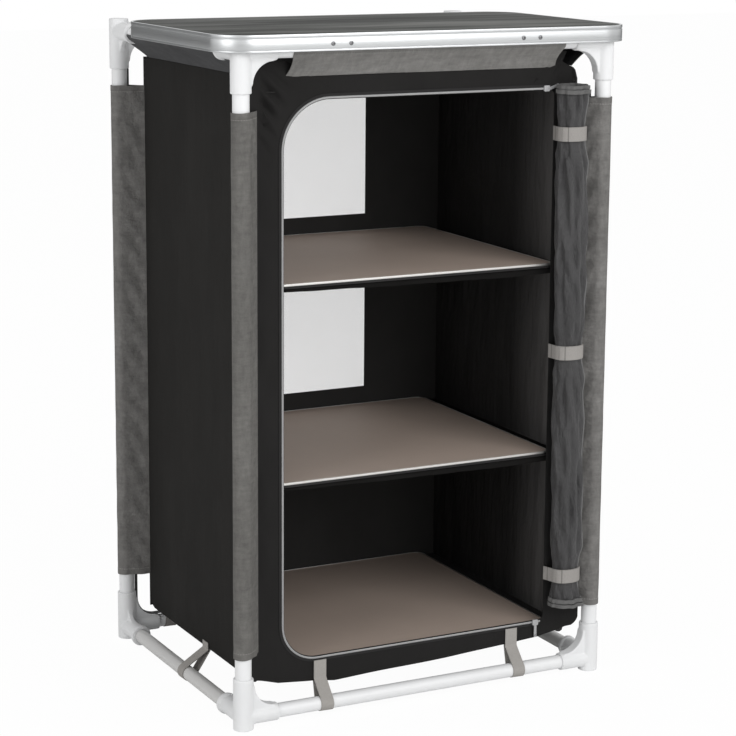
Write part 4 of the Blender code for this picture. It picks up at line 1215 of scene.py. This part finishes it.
def rollPoint(turn, depth, z, flare=1.0, lift=0.0):  # depth counts the turns inwards
    r = rollShape
    waist = waistShare(z)
    scale, calm = (1 - r["waist"] * waist) * flare, 1 - 0.8 * waist
    sway = r["sway"] * wave(0, z * 3.1, seed=7) * calm
    degrees = math.degrees(turn) % 360
    fold = r["fold"] * wave(math.cos(turn) * 2.8 + z * 7, math.sin(turn) * 2.8, z * 9, seed=2) * calm
    fold += r["ripple"] * math.sin(math.radians(degrees) * 7 + z * 60 + 3 * wave(0, z * 9, seed=5)) * calm
    for index, (angle, half, height) in enumerate(r["ridges"]):
        away = (degrees - angle - sway * (0.5 + 0.5 * math.sin(index * 2.1))) / half
        fold += height * math.exp(-away * away) * (0.35 + 0.65 * calm) * (0.75 + wave(index, z * 6, seed=4))
    gather = r["gather"] * math.exp(-((waist - 0.45) / 0.3) ** 2)
    gather *= math.sin(degrees / 7.5 + 3 * wave(0, z * 5, seed=1))
    factor = scale * (1 - r["layer"] * depth) + (lift + fold + gather - r["sink"]) / r["halfX"]
    return Vector((rollX(z) + r["halfX"] * factor * math.cos(turn),
                   rollCentre(scale) + r["halfY"] * factor * math.sin(turn), z))


def makeRoll(bottom, top, thickness, flare=1.0, rows=170, lift=0.0, ripple=0.0):
    r = rollShape

    def place(across, along):
        depth = across * r["turns"]
        turn = math.radians(r["startTurn"]) - 2 * math.pi * depth
        point = rollPoint(turn, depth, mix(bottom, top, along), flare, lift)
        point.z += ripple * (0.6 * math.sin(turn) + wave(depth * 5, 0, seed=6) - 0.25 * depth)
        return point

    roll = clothGrid(r["columns"], rows, place, (r["width"], top - bottom))
    thicken(roll, thickness)
    return roll


rollLow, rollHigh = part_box("door_roll")
tuck = rollShape["hem"] - 0.002
roll = makeRoll(rollLow.z + tuck, rollHigh.z - tuck, thickness=0.0009)
finishCloth(roll, "rolled_door", doorCloth, ["door_roll"])
half, gap = rollShape["hem"] / 2, 0.001
for name, bottom, top, flare in (("bottom_outer", rollLow.z + half, rollLow.z + 2 * half, 1.10),
                                 ("bottom_edge", rollLow.z, rollLow.z + half - gap, 1.15),
                                 ("top_edge", rollHigh.z - half + gap, rollHigh.z, 1.06),
                                 ("top_outer", rollHigh.z - 2 * half, rollHigh.z - half, 1.11)):
    hem = makeRoll(bottom, top, thickness=0.0013, flare=flare, rows=8, lift=0.0003, ripple=0.0012)
    finishCloth(hem, "rolled_door_hem_" + name, hemCloth)


def makeEdgeTeeth():  # the door's own row of teeth, along the sheet's free edge
    teethShape = {"fromEdge": 2, "ends": 0.004, "lift": 0.0011, "width": 0.0022, "thickness": 0.0011,
                  "steps": 160}
    t = teethShape
    turn = math.radians(rollShape["startTurn"] + t["fromEdge"])
    heights = [mix(rollLow.z + t["ends"], rollHigh.z - t["ends"], step / t["steps"])
               for step in range(t["steps"] + 1)]
    path = [rollPoint(turn, 0, z, lift=t["lift"]) for z in heights]
    return makeBand(path, t["width"], (0.94, 0.3, 0), t["thickness"], 2, 400)


finishCloth(makeEdgeTeeth(), "rolled_door_teeth", darkCoil)


def makeTie(place, height):  # sewn on at the cabinet's face, with its end lapped over it
    tieShape = {"width": 0.022, "thickness": 0.0010, "gap": 0.0011, "lapGap": 0.0001, "start": 180,
                "lapStart": 212, "end": 334, "sewnIn": 0.0006}
    t = tieShape
    hinge = Vector((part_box("roll_strap_" + place)[0].x + t["sewnIn"], boxFront - t["gap"], height))
    scale = 1 - rollShape["waist"]
    bands = []
    for start, grow in ((t["start"], t["gap"]), (t["lapStart"], t["gap"] + t["thickness"] + t["lapGap"])):
        halfX, halfY = rollShape["halfX"] * scale + grow, rollShape["halfY"] * scale + grow
        path = [Vector((rollX(height) + halfX * point.x, rollCentre(scale) + halfY * point.y, height))
                for point in arcPoints(1.0, start, t["end"], 30)]
        bands.append(makeBand(path if bands else [hinge] + path, t["width"], (0, 0, 1), t["thickness"], 10))
    return join(bands)


for place, height in zip(("bottom", "middle", "top"), rollShape["straps"]):
    finishCloth(makeTie(place, height), "roll_tie_" + place, strapTape, ["roll_strap_" + place],
                "strap_" + place)
print("rolled door made")


# zip round the opening
def zipPoint(share, offset):
    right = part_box("door_zip")[1].x
    o = opening
    left, high, low = -o["x"] - offset, o["top"] + offset, o["bottom"] - offset
    topRadius, lowRadius = o["highCorner"] + offset, o["lowCorner"] + offset
    across, upright = right + o["x"], o["top"] - o["bottom"] - o["highCorner"] - o["lowCorner"]
    quarter = math.pi / 2
    spans = [(across - o["highCorner"], (right, high), (left + topRadius, high)),
             (quarter * o["highCorner"], (left + topRadius, high - topRadius), topRadius, 90),
             (upright, (left, high - topRadius), (left, low + lowRadius)),
             (quarter * o["lowCorner"], (left + lowRadius, low + lowRadius), lowRadius, 180),
             (across - o["lowCorner"], (left + lowRadius, low), (right, low))]
    return followSpans(share * sum(span[0] for span in spans), spans)


def makeZipStrip(inner, outer, base, height, rows, teeth):  # inner and outer are how far it is from the opening
    zipShape = {"length": 2.1, "thickness": 0.0005}

    def place(across, along):
        point = zipPoint(along, mix(inner, outer, across))
        crown = math.sin(math.pi * across)
        ridge = 1 - teeth * (0.5 + 0.5 * math.cos(math.pi * round(along * rows)))
        return point.x, boxFront - base - height * crown * ridge, point.y

    strip = clothGrid(4, rows, place, (outer - inner, zipShape["length"]))
    thicken(strip, zipShape["thickness"])
    return strip


tape = makeZipStrip(inner=0.0008, outer=0.0085, base=0.0006, height=0.0, rows=900, teeth=0.0)
finishCloth(tape, "zip_tape", zipTape, ["door_zip"])
coil = makeZipStrip(inner=0.0012, outer=0.0040, base=0.0009, height=0.0009, rows=2400, teeth=0.35)
finishCloth(coil, "zip_teeth", zipCoil)


def makeSlider(node, swing):  # a body, the bridge on it and the pull that swings from that
    sliderShape = {"body": 0.009, "bodyThick": 0.0026, "waist": 0.0016, "bridge": 0.0024, "bridgeRound": 0.0014,
                   "bridgeSink": 0.0001, "bridgeInset": 0.001, "pull": 0.0044, "pullThick": 0.0014,
                   "pullSink": 0.0004, "pullRise": 0.004, "pullRound": 0.0016, "hole": 0.0012,
                   "holeUp": 0.0035, "past": 0.002, "pivotIn": 0.001, "pivotUp": 0.0025, "edge": 0.0002}
    s = sliderShape
    low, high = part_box(node)
    x, bodyLow = (low.x + high.x) / 2, high.z - s["body"]
    body = addCube((low.x, high.y - s["bodyThick"], bodyLow), high)
    roundEdges(body, lambda a, b: abs(a.y - b.y) > 0.001, s["waist"], 3)
    bridge = addCube((x - s["bridge"] / 2, low.y + s["bridgeSink"], bodyLow + s["bridgeInset"]),
                     (x + s["bridge"] / 2, high.y - s["bridgeInset"], high.z - s["bridgeInset"]))
    roundEdges(bridge, lambda a, b: max(a.y, b.y) < low.y + 0.0005 and abs(a.x - b.x) > 0.001,
               s["bridgeRound"], 4)
    pullFront = low.y + s["pullSink"]
    pull = addCube((x - s["pull"] / 2, pullFront, low.z),
                   (x + s["pull"] / 2, pullFront + s["pullThick"], bodyLow + s["pullRise"]))
    roundEdges(pull, lambda a, b: abs(a.y - b.y) > 0.001, s["pullRound"], 4)
    holeZ = low.z + s["holeUp"]
    combine(pull, [addCylinder((x, low.y - s["past"], holeZ), (x, low.y + 2 * s["past"], holeZ),
                               s["hole"], 20)])
    startEdit(pull)
    bpy.ops.mesh.select_all(action="SELECT")
    bpy.ops.transform.rotate(value=math.radians(swing), orient_axis="Y",
                             center_override=(x, low.y + s["pivotIn"], bodyLow + s["pivotUp"]))
    combine(body, [bridge, pull], "UNION")
    softenEdges(body, s["edge"], 1, 40)
    return body


for place, swing in (("top", 108), ("bottom", 0)):
    node = "zip_slider_" + place
    finish(makeSlider(node, swing), "zip_pull_" + place, sliderEnamel, "slider_" + place, [node])
print("zip made")


# camera at the photograph's place
def makeCamera():
    view = {"lens": 111.95, "shiftY": -0.0394, "place": (-1.6382, -3.2186, 1.2599), "yaw": 0.4757,
            "pitch": 0.1992, "roll": 0.0069}
    camera = bpy.data.objects.new("camera", bpy.data.cameras.new("camera"))
    scene.collection.objects.link(camera)
    camera.data.lens, camera.data.sensor_width = view["lens"], 36
    camera.data.shift_y = view["shiftY"]
    camera.data.clip_end = 60
    camera.matrix_world = (Matrix.Translation(view["place"]) @ Matrix.Rotation(-view["yaw"], 4, "Z")
                           @ Matrix.Rotation(math.pi / 2 - view["pitch"], 4, "X")
                           @ Matrix.Rotation(view["roll"], 4, "Z"))
    scene.camera = camera


makeCamera()


# floor, white surroundings and soft lamps
def addPlane(name, size, place=(0, 0, 0)):
    clearSelection()
    bpy.ops.mesh.primitive_plane_add(size=1, location=place)
    plane = bpy.context.object
    plane.name = name
    plane.scale = (*size, 1)
    return plane


def aim(thing, height, axis):  # turns its axis towards the object's middle at this height
    thing.rotation_euler = (Vector((0, 0, height)) - thing.location).to_track_quat(axis, "Y").to_euler()


def makeStudio():
    studio = {"floorSize": 30, "floorColour": (0.93, 0.93, 0.93), "floorWhite": 0.97, "worldLight": 0.60,
              "cards": (((-1.9, 4.4, 1.1), (4.6, 2.6), 0.13), ((4.6, 2.6, 1.1), (3.2, 2.6), 0.10)),
              "lamps": (("key", (0.9, -4.0, 2.5), 3.0, 105), ("fill", (-3.8, -1.2, 1.7), 2.4, 40))}
    floor = addPlane("studio_floor", (studio["floorSize"], studio["floorSize"]))
    shade = Shade("paleFloor")
    seen = shade.node("ShaderNodeLightPath", output="Is Camera Ray")
    shade.done(Base_Color=studio["floorColour"], Roughness=0.9, Specular_IOR_Level=0.0)
    glow = shade.node("ShaderNodeEmission", {}, {"Color": (1, 1, 1), "Strength": 1.0})
    plain = Field(shade, shade.surface.outputs[0])
    mixed = shade.node("ShaderNodeMixShader", {}, {0: seen * studio["floorWhite"], 1: plain, 2: glow})
    floor.data.materials.append(shade.show(mixed))
    scene.world = bpy.data.worlds.new("studio")
    sky = Shade("studio", scene.world)
    direct, *others = [sky.node("ShaderNodeLightPath", output=f"Is {ray} Ray")
                       for ray in ("Camera", "Glossy", "Transmission")]
    for other in others:  # white to the eye, in metal and through glass, and dimmer as a light
        direct = direct.maths("MAXIMUM", other)
    level = sky.node("ShaderNodeMapRange", {}, {"Value": direct, "To Min": studio["worldLight"], "To Max": 1.0})
    sky.done(Strength=level, Color=(1, 1, 1))
    for index, (place, size, strength) in enumerate(studio["cards"]):  # grey cards that only the metal mirrors
        card = addPlane(f"studio_card_{index + 1}", size, place)
        aim(card, 1.0, "Z")
        dim = Shade(f"greyCard{index + 1}")
        dull = dim.node("ShaderNodeEmission", {}, {"Color": (1, 1, 1), "Strength": strength})
        card.data.materials.append(dim.show(dull))
        card.visible_camera = card.visible_diffuse = card.visible_shadow = card.visible_transmission = False
    for name, place, size, power in studio["lamps"]:
        lamp = bpy.data.objects.new(name, bpy.data.lights.new(name, "AREA"))
        lamp.data.size, lamp.data.energy = size, power
        lamp.location = place
        aim(lamp, 0.55, "-Z")
        scene.collection.objects.link(lamp)
    scene.view_settings.view_transform = "Standard"


makeStudio()
print("studio made")
